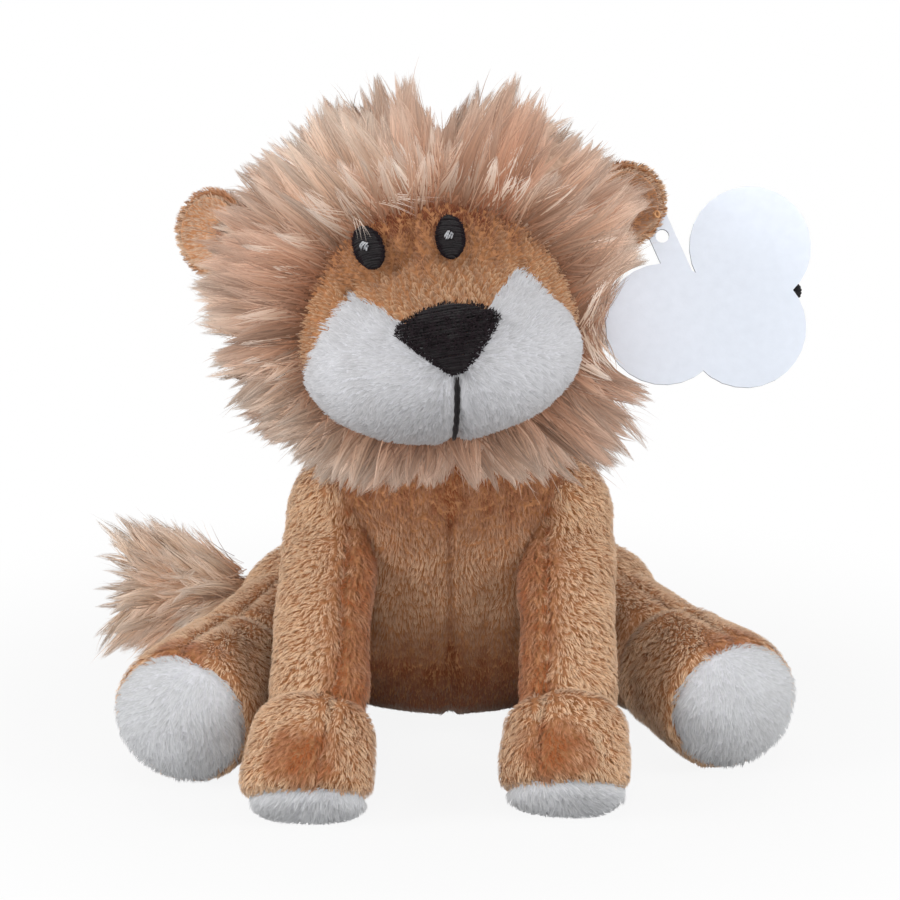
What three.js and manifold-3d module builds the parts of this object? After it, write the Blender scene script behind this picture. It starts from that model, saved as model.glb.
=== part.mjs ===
// A seated plush lion with a card tag, in millimetres. It faces -Y, +X is the viewer's right and +Z is up.
// The origin is the middle of the flat patch that the lion sits on. Left and right are the viewer's.
import * as THREE from 'three';
import { mergeVertices } from 'three/addons/utils/BufferGeometryUtils.js';
import Module from 'manifold-3d';

const wasm = await Module();
wasm.setup();

// Cloth, seams and clearances
const plushWall = 2.2;            // backing and short pile together
const seamGap = 0.3;              // between two pieces that are sewn or pressed together
const floorSink = 0.5;            // how deep the soft pieces are flattened where they rest
const stitchHeight = 0.9;         // how far embroidery stands out of the pile
const weldDistance = 0.0005;      // points closer than this are one point
const cutOverrun = 60;            // how far a cutting shape runs past what it cuts

// Torso
const torsoBagHeight = 66;
const torsoWidth = 78;
const torsoDepth = 66;
const torsoLean = 14;             // how far the chest stands in front of the seat
const chestRadius = 25;           // of the dome that the head sits on
const neckHeight = 53;            // the middle of that dome
const neckHalfAngle = 16;         // degrees, of the neck opening seen from the middle of the dome
const neckPlugRise = 6;           // how far the neck's filling reaches into the head

// Head, on the neck
const headAboveNeck = 48;
const headBeforeNeck = 8;
const headYaw = 6;                // degrees, face towards the viewer's right
const headRoll = 7.5;             // degrees, viewer's right side higher
const headWidth = 77;
const headDepth = 72;
const headHeight = 65;
const muzzleWidth = 55;
const muzzleDepth = 46;
const muzzleHeight = 32;
const muzzleForward = 32;         // muzzle's middle in front of the head's
const muzzleDrop = 9.5;           // and below it
const headTurnRange = 25;         // degrees each way
const nodRange = 10;              // degrees each way
const nodClearance = 2;           // degrees

// Face
const eyeWidth = 6.6;
const eyeHeight = 9.6;
const eyeSpacing = 16.4;
const eyesAside = 4;              // both eyes sit this far to the left of the middle
const eyesUp = 15.6;
const eyeTilt = 8;                // degrees, tops leaning outwards
const eyeLightRadius = 0.9;
const noseWidth = 22;
const noseHeight = 12.8;
const noseDrop = 1.2;             // nose's middle below the head's
const mouthWidth = 1.5;
const mouthLength = 14;
const mouthSlant = 7;             // degrees, lower end to the left
const muzzlePanelBack = 24;       // the white panels end this far in front of the head's middle

// Mane
const manePile = 16.5;            // how far the longest tips stand out beyond the head's side
const maneBandWidth = 26;         // of the sewn band, front to back
const maneBehindFace = 24;        // the band's middle behind the front of the brow
const maneSweep = 3;              // how far the tips lie behind the band's middle
const manePartingWidth = 10;      // of the notch between the tufts at the top
const manePartingDepth = 10;
const manePartingAngle = 78;      // degrees, from the head's right side
const maneTufts = 20;

// Ears
const earWidth = 20;
const earHeight = 21;
const earThickness = 2;
const earLiningThickness = 1.2;
const earCup = 3.2;               // depth of the hollow
const earSeat = 1.5;              // how much of the round outline the head cuts off
const earBack = 9;                // back face behind the head's middle
const earRiseLeft = 21;           // degrees above the head's side
const earRiseRight = 13;
const earLeanLeft = 42;           // degrees, tip to the back
const earLeanRight = 4;

// Forelegs
const shoulderRadius = 15;        // seen from the side
const shoulderWidth = 22.8;
const shoulderHeight = 48;
const shoulderSpread = 25.2;
const shoulderForward = 18;
const forelegReach = 62.5;        // of the left one, from the shoulder forwards
const forepawWidth = 28.5;
const forepawHeight = 25;
const forepawSoleDepth = 5.5;
const forelegSwing = 30;          // degrees, that a foreleg can be raised forwards
const forepawSoleAngle = 30;      // degrees, of the sole's face up from the floor

// Hind legs
const hipRadius = 18.8;
const hipSpread = 31;
const hipBack = 4;
const hindLegReach = 66.5;        // of the left one, from the hip forwards
const hindFootWidth = 33;
const hindFootHeight = 30.5;
const hindSoleDepth = 7.5;
const hindLegSwing = 25;          // degrees, that a hind leg can be splayed further

// Tail
const tailWidth = 7.2;
const tailRootWidth = 8.4;
const tailRootAside = 17;
const tailRootBack = 30.5;
const tailHeight = 15;
const tailReach = 38;             // from its root to the tuft
const tuftLength = 34;
const tuftWidth = 30;
const tuftDepth = 20;
const tuftSeat = 4;               // how deep the tail's end sits in the tuft
const tuftTips = 8;

// Tag
const tagHoleFromTip = 3.9;       // the hole in its tab, short of the right ear's tip
const tagHoleBelowEar = 0.1;      // and below its lower edge
const tagHoleAheadOfEar = 2.6;    // and in front of its back face
const tagThickness = 1;
const tagLobeRadius = 13.3;
const tagNearLobeAside = 12.7;
const tagNearLobeDrop = 14.6;
const tagFarLobeDrop = 26.9;
const tagTabWidth = 5.6;
const tagTabLength = 6;           // above the hole
const tagHoleRadius = 1.5;
const tagTurn = 42;               // degrees, of the card about its tab
const tagTabSlant = 18;           // degrees, between the tab and the middle of the card
const tagTilt = 18;               // degrees, lower end to the front
const threadRadius = 0.45;
const threadHoleRadius = 0.75;
const threadKnotRadius = 1.1;
const threadKnotLength = 0.7;
const threadFromHole = 4.2;       // up the tab, from the middle of the hole
const threadReach = 5.6;          // in front of the card's middle
const knotWidth = 2.6;
const knotHeight = 4;
const knotAside = 13.8;           // from the card's middle line, at the notch between two lobes
const knotDrop = 28.4;            // below the hole

// How finely the surfaces are divided
const torsoFine = { sides: 16, rings: 8 };
const headFine = { sides: 22, rings: 14 };
const limbFine = { sides: 12, rings: 8 };
const coreFine = { sides: 8, rings: 6 };
const headCoreFine = { sides: 12, rings: 8 };
const ballFine = { sides: 10, rings: 6 };
const coreBallFine = { sides: 8, rings: 5 };
const outlineSteps = 14;
const dotSteps = 8;
const neckArcSteps = 3;

const degree = Math.PI / 180;
const fullTurn = 2 * Math.PI;
const up = new THREE.Vector3(0, 0, 1);
const xAxis = new THREE.Vector3(1, 0, 0);
const vec = (x, y, z) => new THREE.Vector3(x, y, z);
const halfOf = (size) => size / 2;
const halves = (x, y, z) => vec(halfOf(x), halfOf(y), halfOf(z));
const sides = [{ side: 'left', sign: -1 }, { side: 'right', sign: 1 }];

// Colours and surfaces
const cloth = (color) => new THREE.MeshStandardMaterial({ color, roughness: 0.95, metalness: 0 });
const tanPlush = () => cloth(0xc1875a);
const whitePlush = () => cloth(0xe9eae8);
const longPile = () => cloth(0xd9b092);
const blackThread = () => cloth(0x1b181b);
const lightThread = () => cloth(0xb9bcc0);
const earCloth = () => cloth(0x9a5a34);
const fibre = () => cloth(0xf4f3ef);
const whiteCard = () => new THREE.MeshStandardMaterial({ color: 0xeceef2, roughness: 0.6, metalness: 0 });

// Solids from surfaces

/** The solid that a closed geometry encloses. */
function solidOf(geometry) {
  const bare = geometry.clone();
  bare.deleteAttribute('normal');
  bare.deleteAttribute('uv');
  const merged = mergeVertices(bare, weldDistance);
  const vertProperties = new Float32Array(merged.attributes.position.array);
  const triVerts = new Uint32Array(merged.index.array);
  return new wasm.Manifold(new wasm.Mesh({ numProp: 3, vertProperties, triVerts }));
}

/** Keeps the side of a plane that its normal points to. */
const keepSide = (solid, point, normal) => solid.trimByPlane(normal.toArray(), normal.dot(point));
const cut = (solid, ...cutters) => cutters.reduce((rest, cutter) => rest.subtract(cutter), solid);

/** A solid turned about an axis through a point. */
function turned(solid, point, axis, angle) {
  const turn = new THREE.Matrix4().makeRotationAxis(axis, angle * degree);
  const there = new THREE.Matrix4().makeTranslation(point.x, point.y, point.z);
  return solid.transform(there.clone().multiply(turn).multiply(there.invert()).elements);
}

/** The largest of the separate pieces that a cut leaves. */
function largestPiece(solid) {
  const pieces = solid.decompose();
  return pieces.reduce((best, next) => (next.volume() > best.volume() ? next : best));
}

/** An indexed geometry with its faces turned to point out. */
function outward(positions, indices) {
  let volume = 0;
  const corner = (index) => new THREE.Vector3().fromArray(positions, 3 * index);
  for (let i = 0; i < indices.length; i += 3) {
    volume += corner(indices[i]).dot(corner(indices[i + 1]).cross(corner(indices[i + 2])));
  }
  const geometry = new THREE.BufferGeometry();
  geometry.setAttribute('position', new THREE.Float32BufferAttribute(positions, 3));
  geometry.setIndex(volume > 0 ? indices : indices.reverse());
  geometry.computeVertexNormals();
  return geometry;
}

/** A closed surface with a pole at each end; pointAt takes shares from 0 to 1 along and around it. */
function poledSurface({ rings, sides: count }, pointAt) {
  const positions = [...pointAt(0, 0).toArray()];
  const indices = [];
  for (let ring = 1; ring < rings; ring += 1) {
    for (let side = 0; side < count; side += 1) {
      positions.push(...pointAt(ring / rings, side / count).toArray());
    }
  }
  positions.push(...pointAt(1, 0).toArray());
  const at = (ring, side) => 1 + (ring - 1) * count + (side % count);
  const last = positions.length / 3 - 1;
  for (let side = 0; side < count; side += 1) {
    indices.push(0, at(1, side), at(1, side + 1));
    indices.push(last, at(rings - 1, side + 1), at(rings - 1, side));
    for (let ring = 1; ring < rings - 1; ring += 1) {
      indices.push(at(ring, side), at(ring + 1, side), at(ring + 1, side + 1));
      indices.push(at(ring, side), at(ring + 1, side + 1), at(ring, side + 1));
    }
  }
  return outward(positions, indices);
}

/** The direction at a share of the way from the top pole to the bottom one, and a share of a turn. */
function onSphere(along, around) {
  const direction = new THREE.Vector3().setFromSphericalCoords(1, along * Math.PI, around * fullTurn);
  return direction.applyAxisAngle(xAxis, halfOf(Math.PI));
}

/** Moves a smooth closed surface outwards, or inwards where the distance is negative. */
function grown(geometry, distance) {
  const moved = geometry.clone();
  const { position, normal } = moved.attributes;
  for (let i = 0; i < position.count; i += 1) {
    const point = new THREE.Vector3().fromBufferAttribute(position, i);
    point.addScaledVector(new THREE.Vector3().fromBufferAttribute(normal, i), distance);
    position.setXYZ(i, point.x, point.y, point.z);
  }
  return moved;
}

/** A value read along evenly spaced shares, with a smooth curve between them. */
function readShares(shares, at) {
  const scaled = Math.min(Math.max(at, 0), 1) * (shares.length - 1);
  const step = Math.min(Math.floor(scaled), shares.length - 2);
  const t = scaled - step;
  const [from, to] = [shares[step], shares[step + 1]];
  const slopeIn = (to - shares[Math.max(step - 1, 0)]) / 2;
  const slopeOut = (shares[Math.min(step + 2, shares.length - 1)] - from) / 2;
  const drift = to - from;
  const bend = 3 * drift - 2 * slopeIn - slopeOut;
  const turnBack = slopeIn + slopeOut - 2 * drift;
  return from + t * (slopeIn + t * (bend + t * turnBack));
}

/** A ball, or a flatter one where its width across is given. As a socket its flat facets stay outside the
    radius instead of inside it. */
function ball(centre, radius, { socket = false, fine = ballFine, width = 2 * radius } = {}) {
  const facetShare = Math.cos(Math.PI / fine.sides) * Math.cos(Math.PI / (2 * fine.rings));
  const geometry = new THREE.SphereGeometry(socket ? radius / facetShare : radius, fine.sides, fine.rings);
  geometry.rotateX(Math.PI / 2);
  geometry.scale(halfOf(width) / radius, 1, 1);
  geometry.translate(centre.x, centre.y, centre.z);
  return solidOf(geometry);
}

/** How full a blunt-ended form is at a share of its length, when its ends round off over a share of it. */
function bluntness(t, bluntShare) {
  const fromEnd = Math.min(1, Math.min(t, 1 - t) / bluntShare);
  return Math.sqrt(1 - (1 - fromEnd) ** 2);
}

/** A stuffed tube along a path, with an oval section that swells and tapers by its shares. Its ends round
    off over a share of half its height. */
function stuffedTube({ path, width, height, swellShares, roundShare = 1 }, fine) {
  const curve = new THREE.CatmullRomCurve3(path, false, 'centripetal');
  const bluntShare = roundShare * halfOf(height) / curve.getLength();
  return poledSurface(fine, (along, around) => {
    const t = halfOf(1 - Math.cos(along * Math.PI));
    const tangent = curve.getTangentAt(t);
    const across = new THREE.Vector3().crossVectors(tangent, up).normalize();
    const over = new THREE.Vector3().crossVectors(across, tangent);
    const swell = readShares(swellShares, t) * bluntness(t, bluntShare);
    const angle = around * fullTurn;
    return curve.getPointAt(t)
      .addScaledVector(across, Math.cos(angle) * halfOf(width) * swell)
      .addScaledVector(over, Math.sin(angle) * halfOf(height) * swell);
  });
}

// Torso: a pear-shaped bag under a dome that the head sits on
const neckPoint = vec(0, -torsoLean, neckHeight);
const torsoBluntShare = 0.12;
const torsoWidthShares = [0.72, 0.87, 0.99, 0.98, 0.9, 0.79, 0.68, 0.58, 0.4];
const torsoDepthShares = [0.7, 0.86, 1, 0.97, 0.9, 0.85, 0.77, 0.62, 0.4];
const torsoLeanShares = [0, 0, 0.04, 0.2, 0.46, 0.7, 0.92, 1, 1];

function torsoForm(growth, fine) {
  const bag = poledSurface(fine, (along, around) => {
    const t = halfOf(1 - Math.cos(along * Math.PI));
    const angle = around * fullTurn;
    const full = bluntness(t, torsoBluntShare);
    const x = Math.cos(angle) * halfOf(torsoWidth) * readShares(torsoWidthShares, t) * full;
    const y = Math.sin(angle) * halfOf(torsoDepth) * readShares(torsoDepthShares, t) * full;
    const z = (torsoBagHeight + floorSink) * t - floorSink;
    return vec(x, y - torsoLean * readShares(torsoLeanShares, t), z);
  });
  const dome = ball(neckPoint, chestRadius + growth, { fine });
  return solidOf(grown(bag, growth)).add(dome);
}

// The balls that the limbs and the tail turn on, each in a hollow of the torso
const shoulderPoint = (sign) => vec(sign * shoulderSpread, -shoulderForward, shoulderHeight);
const hipPoint = (sign) => vec(sign * hipSpread, hipBack, hipRadius - floorSink);
const tailPoint = vec(-tailRootAside, tailRootBack, tailHeight);
const turningBalls = [
  ...sides.map(({ sign }) => ({ centre: shoulderPoint(sign), radius: shoulderRadius, width: shoulderWidth })),
  ...sides.map(({ sign }) => ({ centre: hipPoint(sign), radius: hipRadius, width: 2 * hipRadius })),
  { centre: tailPoint, radius: halfOf(tailRootWidth), width: tailRootWidth },
];

/** The torso's form shrunk by an inset, with the hollows for the limbs kept that far off too. */
function torsoLayer(inset, fine, hollowFine) {
  const growth = seamGap + inset;
  const hollows = turningBalls.map(({ centre, radius, width }) => (
    ball(centre, radius + growth, { socket: true, fine: hollowFine, width: width + 2 * growth })));
  return cut(keepSide(torsoForm(-inset, fine), vec(0, 0, inset), up), ...hollows);
}

/** A slice of a cone round the neck point, between two distances from it. */
function neckSlice(inner, outer, halfAngle) {
  const arc = (radius, from, to) => Array.from({ length: neckArcSteps + 1 }, (unused, step) => {
    const angle = (from + (to - from) * step / neckArcSteps) * degree;
    return new THREE.Vector2(radius * Math.sin(angle), radius * Math.cos(angle));
  });
  const profile = [...arc(outer, 0, halfAngle), ...arc(inner, halfAngle, 0)];
  const lathe = new THREE.LatheGeometry(profile, torsoFine.sides);
  lathe.rotateX(Math.PI / 2);
  lathe.translate(neckPoint.x, neckPoint.y, neckPoint.z);
  const positions = Array.from(lathe.attributes.position.array);
  return solidOf(outward(positions, Array.from(lathe.index.array)));
}

const coverInset = plushWall + seamGap;
const neckPlugInner = chestRadius - coverInset - seamGap;
const neckPlugOuter = chestRadius + seamGap + coverInset + neckPlugRise;
const neckGapAngle = seamGap / chestRadius / degree;

function torsoPieces() {
  const slice = neckSlice(neckPlugInner - plushWall, neckPlugOuter, neckHalfAngle + neckGapAngle);
  const seat = neckSlice(neckPlugInner - seamGap, neckPlugOuter, neckHalfAngle + neckGapAngle);
  const hollow = torsoLayer(plushWall, coreFine, coreBallFine);
  return {
    torso_cover: cut(torsoLayer(0, torsoFine, ballFine), hollow, slice),
    torso_filling: cut(torsoLayer(coverInset, coreFine, coreBallFine), seat),
    neck_filling: neckSlice(neckPlugInner, neckPlugOuter, neckHalfAngle),
  };
}

// Head: a skull and a muzzle that run into each other, in a frame of its own
const headTurn = new THREE.Euler(0, -headRoll * degree, headYaw * degree, 'ZYX');
const headFrame = new THREE.Matrix4()
  .makeTranslation(neckPoint.x, neckPoint.y, neckPoint.z)
  .multiply(new THREE.Matrix4().makeRotationFromEuler(headTurn))
  .multiply(new THREE.Matrix4().makeTranslation(0, -headBeforeNeck, headAboveNeck));
const headLobes = [
  { centre: vec(0, 0, 0), radii: halves(headWidth, headDepth, headHeight) },
  { centre: vec(0, -muzzleForward, -muzzleDrop), radii: halves(muzzleWidth, muzzleDepth, muzzleHeight) },
];
const lobeSharpness = 7;
const searchSteps = 24;

/** How far the head's surface is from its middle in a direction. */
function headDistance(direction) {
  let near = 0;
  let far = headWidth + muzzleDepth;
  for (let step = 0; step < searchSteps; step += 1) {
    const middle = halfOf(near + far);
    const fill = headLobes.reduce((sum, { centre, radii }) => {
      const share = direction.clone().multiplyScalar(middle).sub(centre).divide(radii).length();
      return sum + Math.exp(lobeSharpness * (1 - share));
    }, 0);
    if (fill > 1) {
      near = middle;
    } else {
      far = middle;
    }
  }
  return near;
}

function headSurface(fine) {
  return poledSurface(fine, (along, around) => {
    const direction = onSphere(along, around);
    return direction.clone().multiplyScalar(headDistance(direction));
  });
}

const headOuter = headSurface(headFine);
const headCore = headSurface(headCoreFine);
const inHeadFrame = (geometry) => solidOf(geometry.clone().applyMatrix4(headFrame));
const headForm = (growth) => inHeadFrame(grown(headOuter, growth));

/** A prism through the front of the face; its outline is in the head's frame, across and up. */
function facePrism(outline, back = 0) {
  const length = cutOverrun + headDepth;
  const prism = new THREE.ExtrudeGeometry(new THREE.Shape(outline), { depth: length, bevelEnabled: false });
  prism.rotateX(Math.PI / 2);
  prism.translate(0, -back, 0);
  return inHeadFrame(prism);
}

function oval(centre, width, height, { tilt = 0, steps = outlineSteps } = {}) {
  return Array.from({ length: steps }, (unused, step) => {
    const angle = step / steps * fullTurn;
    const point = new THREE.Vector2(Math.cos(angle) * halfOf(width), Math.sin(angle) * halfOf(height));
    return point.rotateAround(new THREE.Vector2(), tilt * degree).add(centre);
  });
}

const sharpCornerShare = 0.4;     // the least that a sharp corner's half angle counts for, as a sine

/** The outline moved inwards by a distance, corner by corner. */
function insetOutline(outline, distance) {
  const clockwise = THREE.ShapeUtils.isClockWise(outline) ? -1 : 1;
  return outline.map((point, i) => {
    const before = outline[(i + outline.length - 1) % outline.length];
    const after = outline[(i + 1) % outline.length];
    const edgeIn = point.clone().sub(before).normalize();
    const edgeOut = after.clone().sub(point).normalize();
    const inwards = new THREE.Vector2(-edgeIn.y - edgeOut.y, edgeIn.x + edgeOut.x).normalize();
    const spread = Math.max(sharpCornerShare, inwards.dot(new THREE.Vector2(-edgeIn.y, edgeIn.x)));
    return point.clone().addScaledVector(inwards, clockwise * distance / spread);
  });
}

// The white panel of the left side, as shares of half the muzzle's width and of its height, from its middle
const panelShares = [
  [0, -0.75], [0, 0.12], [-0.28, 0.36], [-0.5, 0.47], [-0.64, 0.53], [-0.78, 0.4],
  [-0.97, 0.2], [-1.1, -0.1], [-1.1, -0.75],
];
const panelOutline = (sign) => panelShares.map(([across, rise]) => (
  new THREE.Vector2(-sign * across * halfOf(muzzleWidth), rise * muzzleHeight - muzzleDrop)));

// The nose, as shares of half its width and height: a triangle on its tip, with a bulging top
const noseShares = [
  [-1, 0.36], [-0.86, 0.62], [-0.5, 0.84], [0, 1], [0.5, 0.88], [0.86, 0.66], [1, 0.4],
  [0.8, 0.05], [0.45, -0.5], [0.12, -0.95], [-0.12, -0.95], [-0.45, -0.5], [-0.8, 0.05],
];
const noseOutline = noseShares.map(([across, rise]) => (
  new THREE.Vector2(across * halfOf(noseWidth), rise * halfOf(noseHeight) - noseDrop)));

function mouthOutline() {
  const top = new THREE.Vector2(0, -noseDrop - halfOf(noseHeight) - seamGap);
  const [x, bottom] = [halfOf(mouthWidth), top.y - mouthLength];
  const corners = [[-x, bottom], [x, bottom], [x, top.y], [-x, top.y]];
  return corners.map((corner) => new THREE.Vector2(...corner).rotateAround(top, -mouthSlant * degree));
}

function headPieces() {
  const seatRadius = chestRadius + seamGap;
  const openAngle = neckHalfAngle + nodRange + nodClearance;
  const seat = (inset) => ball(neckPoint, seatRadius + inset, { socket: true, fine: torsoFine });
  const plugRoom = neckSlice(chestRadius - plushWall, neckPlugOuter + seamGap, openAngle);
  const hollow = cut(inHeadFrame(grown(headCore, -plushWall)), seat(plushWall));
  const cover = cut(headForm(0), hollow, seat(0), plugRoom);
  const panels = sides.map(({ side, sign }) => {
    const inset = insetOutline(panelOutline(sign), halfOf(seamGap));
    return [`muzzle_${side}`, largestPiece(cover.intersect(facePrism(inset, muzzlePanelBack + seamGap)))];
  });
  const windows = sides.map(({ sign }) => facePrism(panelOutline(sign), muzzlePanelBack));
  return {
    head_cover: largestPiece(cut(cover, ...windows)),
    head_filling: cut(inHeadFrame(grown(headCore, -coverInset)), seat(coverInset), plugRoom),
    ...Object.fromEntries(panels),
  };
}

/** Embroidery lies on the pile: a thin layer of the head's surface inside an outline. */
function embroideryPieces() {
  const layer = cut(headForm(seamGap + stitchHeight), headForm(seamGap));
  const pieces = {
    nose: layer.intersect(facePrism(noseOutline)),
    mouth_stitch: layer.intersect(facePrism(mouthOutline())),
  };
  sides.forEach(({ side, sign }) => {
    const centre = new THREE.Vector2(sign * halfOf(eyeSpacing) - eyesAside, eyesUp);
    const dot = (radius) => facePrism(oval(centre, 2 * radius, 2 * radius, { steps: dotSteps }));
    const eye = facePrism(oval(centre, eyeWidth, eyeHeight, { tilt: -sign * eyeTilt }));
    pieces[`eye_${side}`] = cut(layer.intersect(eye), dot(eyeLightRadius + seamGap));
    pieces[`eye_light_${side}`] = layer.intersect(dot(eyeLightRadius));
  });
  return pieces;
}

// Mane: a ring of long pile round the face that rises to tufted tips, notched at the parting. Reach every 30
// degrees from the head's right side, anticlockwise as seen from the front; section from its front to its back
const maneReach = halfOf(headWidth) + manePile;
const maneForward = halfOf(headDepth) - maneBehindFace;
const maneReachShares = [0.74, 0.97, 0.9, 0.83, 0.82, 0.87, 0.88, 0.85, 0.76, 0.66, 0.86, 0.84, 0.74];
const maneSectionShares = [
  [0.42, -0.5], [0.7, -0.58], [0.9, -0.44], [1, -0.1], [0.9, 0.22], [0.7, 0.44], [0.42, 0.5],
];
const tuftLiftShare = 0.045;
const tuftSwingShare = 0.12;

function maneSolid() {
  const columns = 2 * maneTufts;
  const rows = maneSectionShares.length;
  const positions = [];
  const indices = [];
  for (let column = 0; column < columns; column += 1) {
    const fromParting = fullTurn * column / columns;
    const angle = manePartingAngle * degree + fromParting;
    const tuft = column % 2 ? 1 : -1;
    const fromNotch = 2 * maneReach * Math.sin(halfOf(fromParting)) / halfOf(manePartingWidth);
    const notch = manePartingDepth * Math.exp(-fromNotch * fromNotch);
    const full = maneReach * readShares(maneReachShares, (angle / fullTurn) % 1);
    const reach = full * (1 + tuft * tuftLiftShare) - notch;
    maneSectionShares.forEach(([out, along], row) => {
      const swing = tuft * tuftSwingShare * maneBandWidth * halfOf(1 - along * along);
      const y = maneBandWidth * along - maneForward + out * out * (maneSweep + swing);
      positions.push(Math.cos(angle) * reach * out, y, Math.sin(angle) * reach * out);
      const next = ((column + 1) % columns) * rows;
      const [a, b] = [column * rows + row, column * rows + (row + 1) % rows];
      const [c, d] = [next + row, next + (row + 1) % rows];
      indices.push(a, b, d, a, d, c);
    });
  }
  const ring = inHeadFrame(outward(positions, indices));
  const overChest = ball(neckPoint, chestRadius + seamGap, { socket: true, fine: torsoFine });
  // The shoulders as the head meets them when it is turned to that side and nods
  const overShoulders = sides.map(({ sign }) => {
    const size = { socket: true, width: shoulderWidth + 2 * seamGap };
    const shoulder = ball(shoulderPoint(sign), shoulderRadius + seamGap, size);
    const turnedBack = turned(shoulder, neckPoint, up, -sign * headTurnRange);
    return turned(turnedBack, neckPoint, xAxis, -nodRange);
  });
  return largestPiece(cut(ring, headForm(seamGap), overChest, ...overShoulders));
}

// Ears: a shallow bowl of cloth and a lining in its hollow. In an ear's frame x points out from the head,
// y back and z along the seam
const earRise = { left: earRiseLeft, right: earRiseRight };
const earLean = { left: earLeanLeft, right: earLeanRight };
const earRings = 5;
const earRingShares = [0, 0.55, 1, 1, 0.55, 0];

/** An ear's frame on the head: its origin is on the seam, at the back face. */
function earFrame(side, sign) {
  const angle = earRise[side] * degree;
  const outFromHead = vec(sign * Math.cos(angle), 0, Math.sin(angle));
  const seam = new THREE.Vector3().crossVectors(outFromHead, vec(0, 1, 0));
  const out = outFromHead.clone().applyAxisAngle(seam, earLean[side] * degree);
  const back = new THREE.Vector3().crossVectors(seam, out);
  const backShare = earBack / halfOf(headDepth);
  const reach = headDistance(outFromHead) * Math.sqrt(1 - backShare ** 2);
  const root = outFromHead.multiplyScalar(reach).setY(earBack);
  return new THREE.Matrix4().makeBasis(out, back, seam).setPosition(root);
}

/** One layer of the bowl, between two distances in front of the ear's back face. */
function earLayer(near, far, rimInset) {
  return poledSurface({ rings: earRings, sides: outlineSteps }, (along, around) => {
    const ring = Math.round(along * earRings);
    const share = earRingShares[ring];
    const angle = around * fullTurn;
    const x = halfOf(earHeight) - earSeat + Math.cos(angle) * (halfOf(earHeight) - rimInset) * share;
    const z = Math.sin(angle) * (halfOf(earWidth) - rimInset) * share;
    const front = (ring < earRings / 2 ? near : far) + earCup * share * share;
    return vec(x, -front, z);
  });
}

function earPieces() {
  const head = headForm(seamGap);
  const pieces = {};
  sides.forEach(({ side, sign }) => {
    const place = headFrame.clone().multiply(earFrame(side, sign));
    const layer = (near, far, rimInset) => solidOf(earLayer(near, far, rimInset).applyMatrix4(place));
    const liningNear = earThickness + seamGap;
    pieces[`ear_${side}`] = largestPiece(cut(layer(0, earThickness, 0), head));
    pieces[`ear_lining_${side}`] = largestPiece(cut(
      layer(liningNear, liningNear + earLiningThickness, earLiningThickness), head));
  });
  return pieces;
}

// Limbs: each is a stuffed tube that ends at a ball in the torso, with a paw or foot and a white sole. The tube
// is cut back from the torso all along the limb's swing
function limb({ ballCentre, ballRadius, ballWidth, tube, wrist, sole, swing }) {
  const growTube = (growth, fine) => solidOf(grown(stuffedTube(tube, fine), growth));
  const layer = (inset, fine) => {
    const body = torsoForm(seamGap + inset, torsoFine);
    const swept = swingShares.map((share) => turned(body, ballCentre, swing.axis, -share * swing.range));
    const width = ballWidth - 2 * inset;
    const end = ball(ballCentre, ballRadius - inset, { fine: inset ? coreBallFine : ballFine, width });
    const form = cut(growTube(-inset, fine), ...swept).add(end);
    return keepSide(form, vec(0, 0, inset), up);
  };
  const shell = cut(layer(0, limbFine), layer(plushWall, coreFine));
  const above = (solid, { point, normal }, gap) => (
    keepSide(solid, point.clone().addScaledVector(normal, -gap), normal.clone().negate()));
  const below = (solid, { point, normal }) => keepSide(solid, point, normal);
  return {
    sleeve: largestPiece(above(shell, wrist, seamGap)),
    paw: largestPiece(above(below(shell, wrist), sole, seamGap)),
    sole: largestPiece(below(shell, sole)),
    filling: largestPiece(layer(coverInset, coreFine)),
  };
}

/** The plane that a sole is sewn on along, its depth short of the limb's tip. */
function soleCut(path, normal, depth) {
  return { point: path.at(-1).clone().addScaledVector(normal, -depth), normal };
}

/** A plane across a path, at a share of its length; its normal points to the path's end. */
function acrossPath(path, share) {
  const curve = new THREE.CatmullRomCurve3(path, false, 'centripetal');
  return { point: curve.getPointAt(share), normal: curve.getTangentAt(share) };
}

// Where each limb runs beyond its ball, to its tip: across as shares of the ball's place, forwards as shares
// of the limb's reach, and up as shares of the height of the ball's middle
const forelegPathShares = {
  left: [[1.071, 0.384, 0.719], [1.095, 0.672, 0.417], [1.21, 1, 0.021]],
  right: [[1, 0.368, 0.719], [0.984, 0.624, 0.417], [0.897, 0.944, 0.031]],
};
const hindLegPathShares = {
  left: [[1.355, 0.331, 0.929], [1.629, 0.632, 0.852], [1.903, 1, 0.792]],
  right: [[1.387, 0.271, 0.929], [1.71, 0.526, 0.852], [2.048, 0.872, 0.792]],
};
function limbPath(root, reach, shares) {
  const place = ([across, ahead, rise]) => vec(root.x * across, root.y - reach * ahead, root.z * rise);
  return [root, ...shares.map(place)];
}
const forelegSwellShares = [0.82, 0.81, 0.78, 0.76, 0.75, 0.76, 0.8, 0.97, 1, 0.98];
const hindLegSwellShares = [0.86, 0.96, 0.96, 0.92, 0.9, 0.92, 0.98, 1, 1, 0.96];
const pawRoundShare = 0.65;
const swingShares = [0, 0.33, 0.67, 1];
const forepawWristShare = 0.67;
const hindAnkleShare = 0.48;
const forepawSoleNormal = vec(0, -Math.sin(forepawSoleAngle * degree), -Math.cos(forepawSoleAngle * degree));

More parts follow.
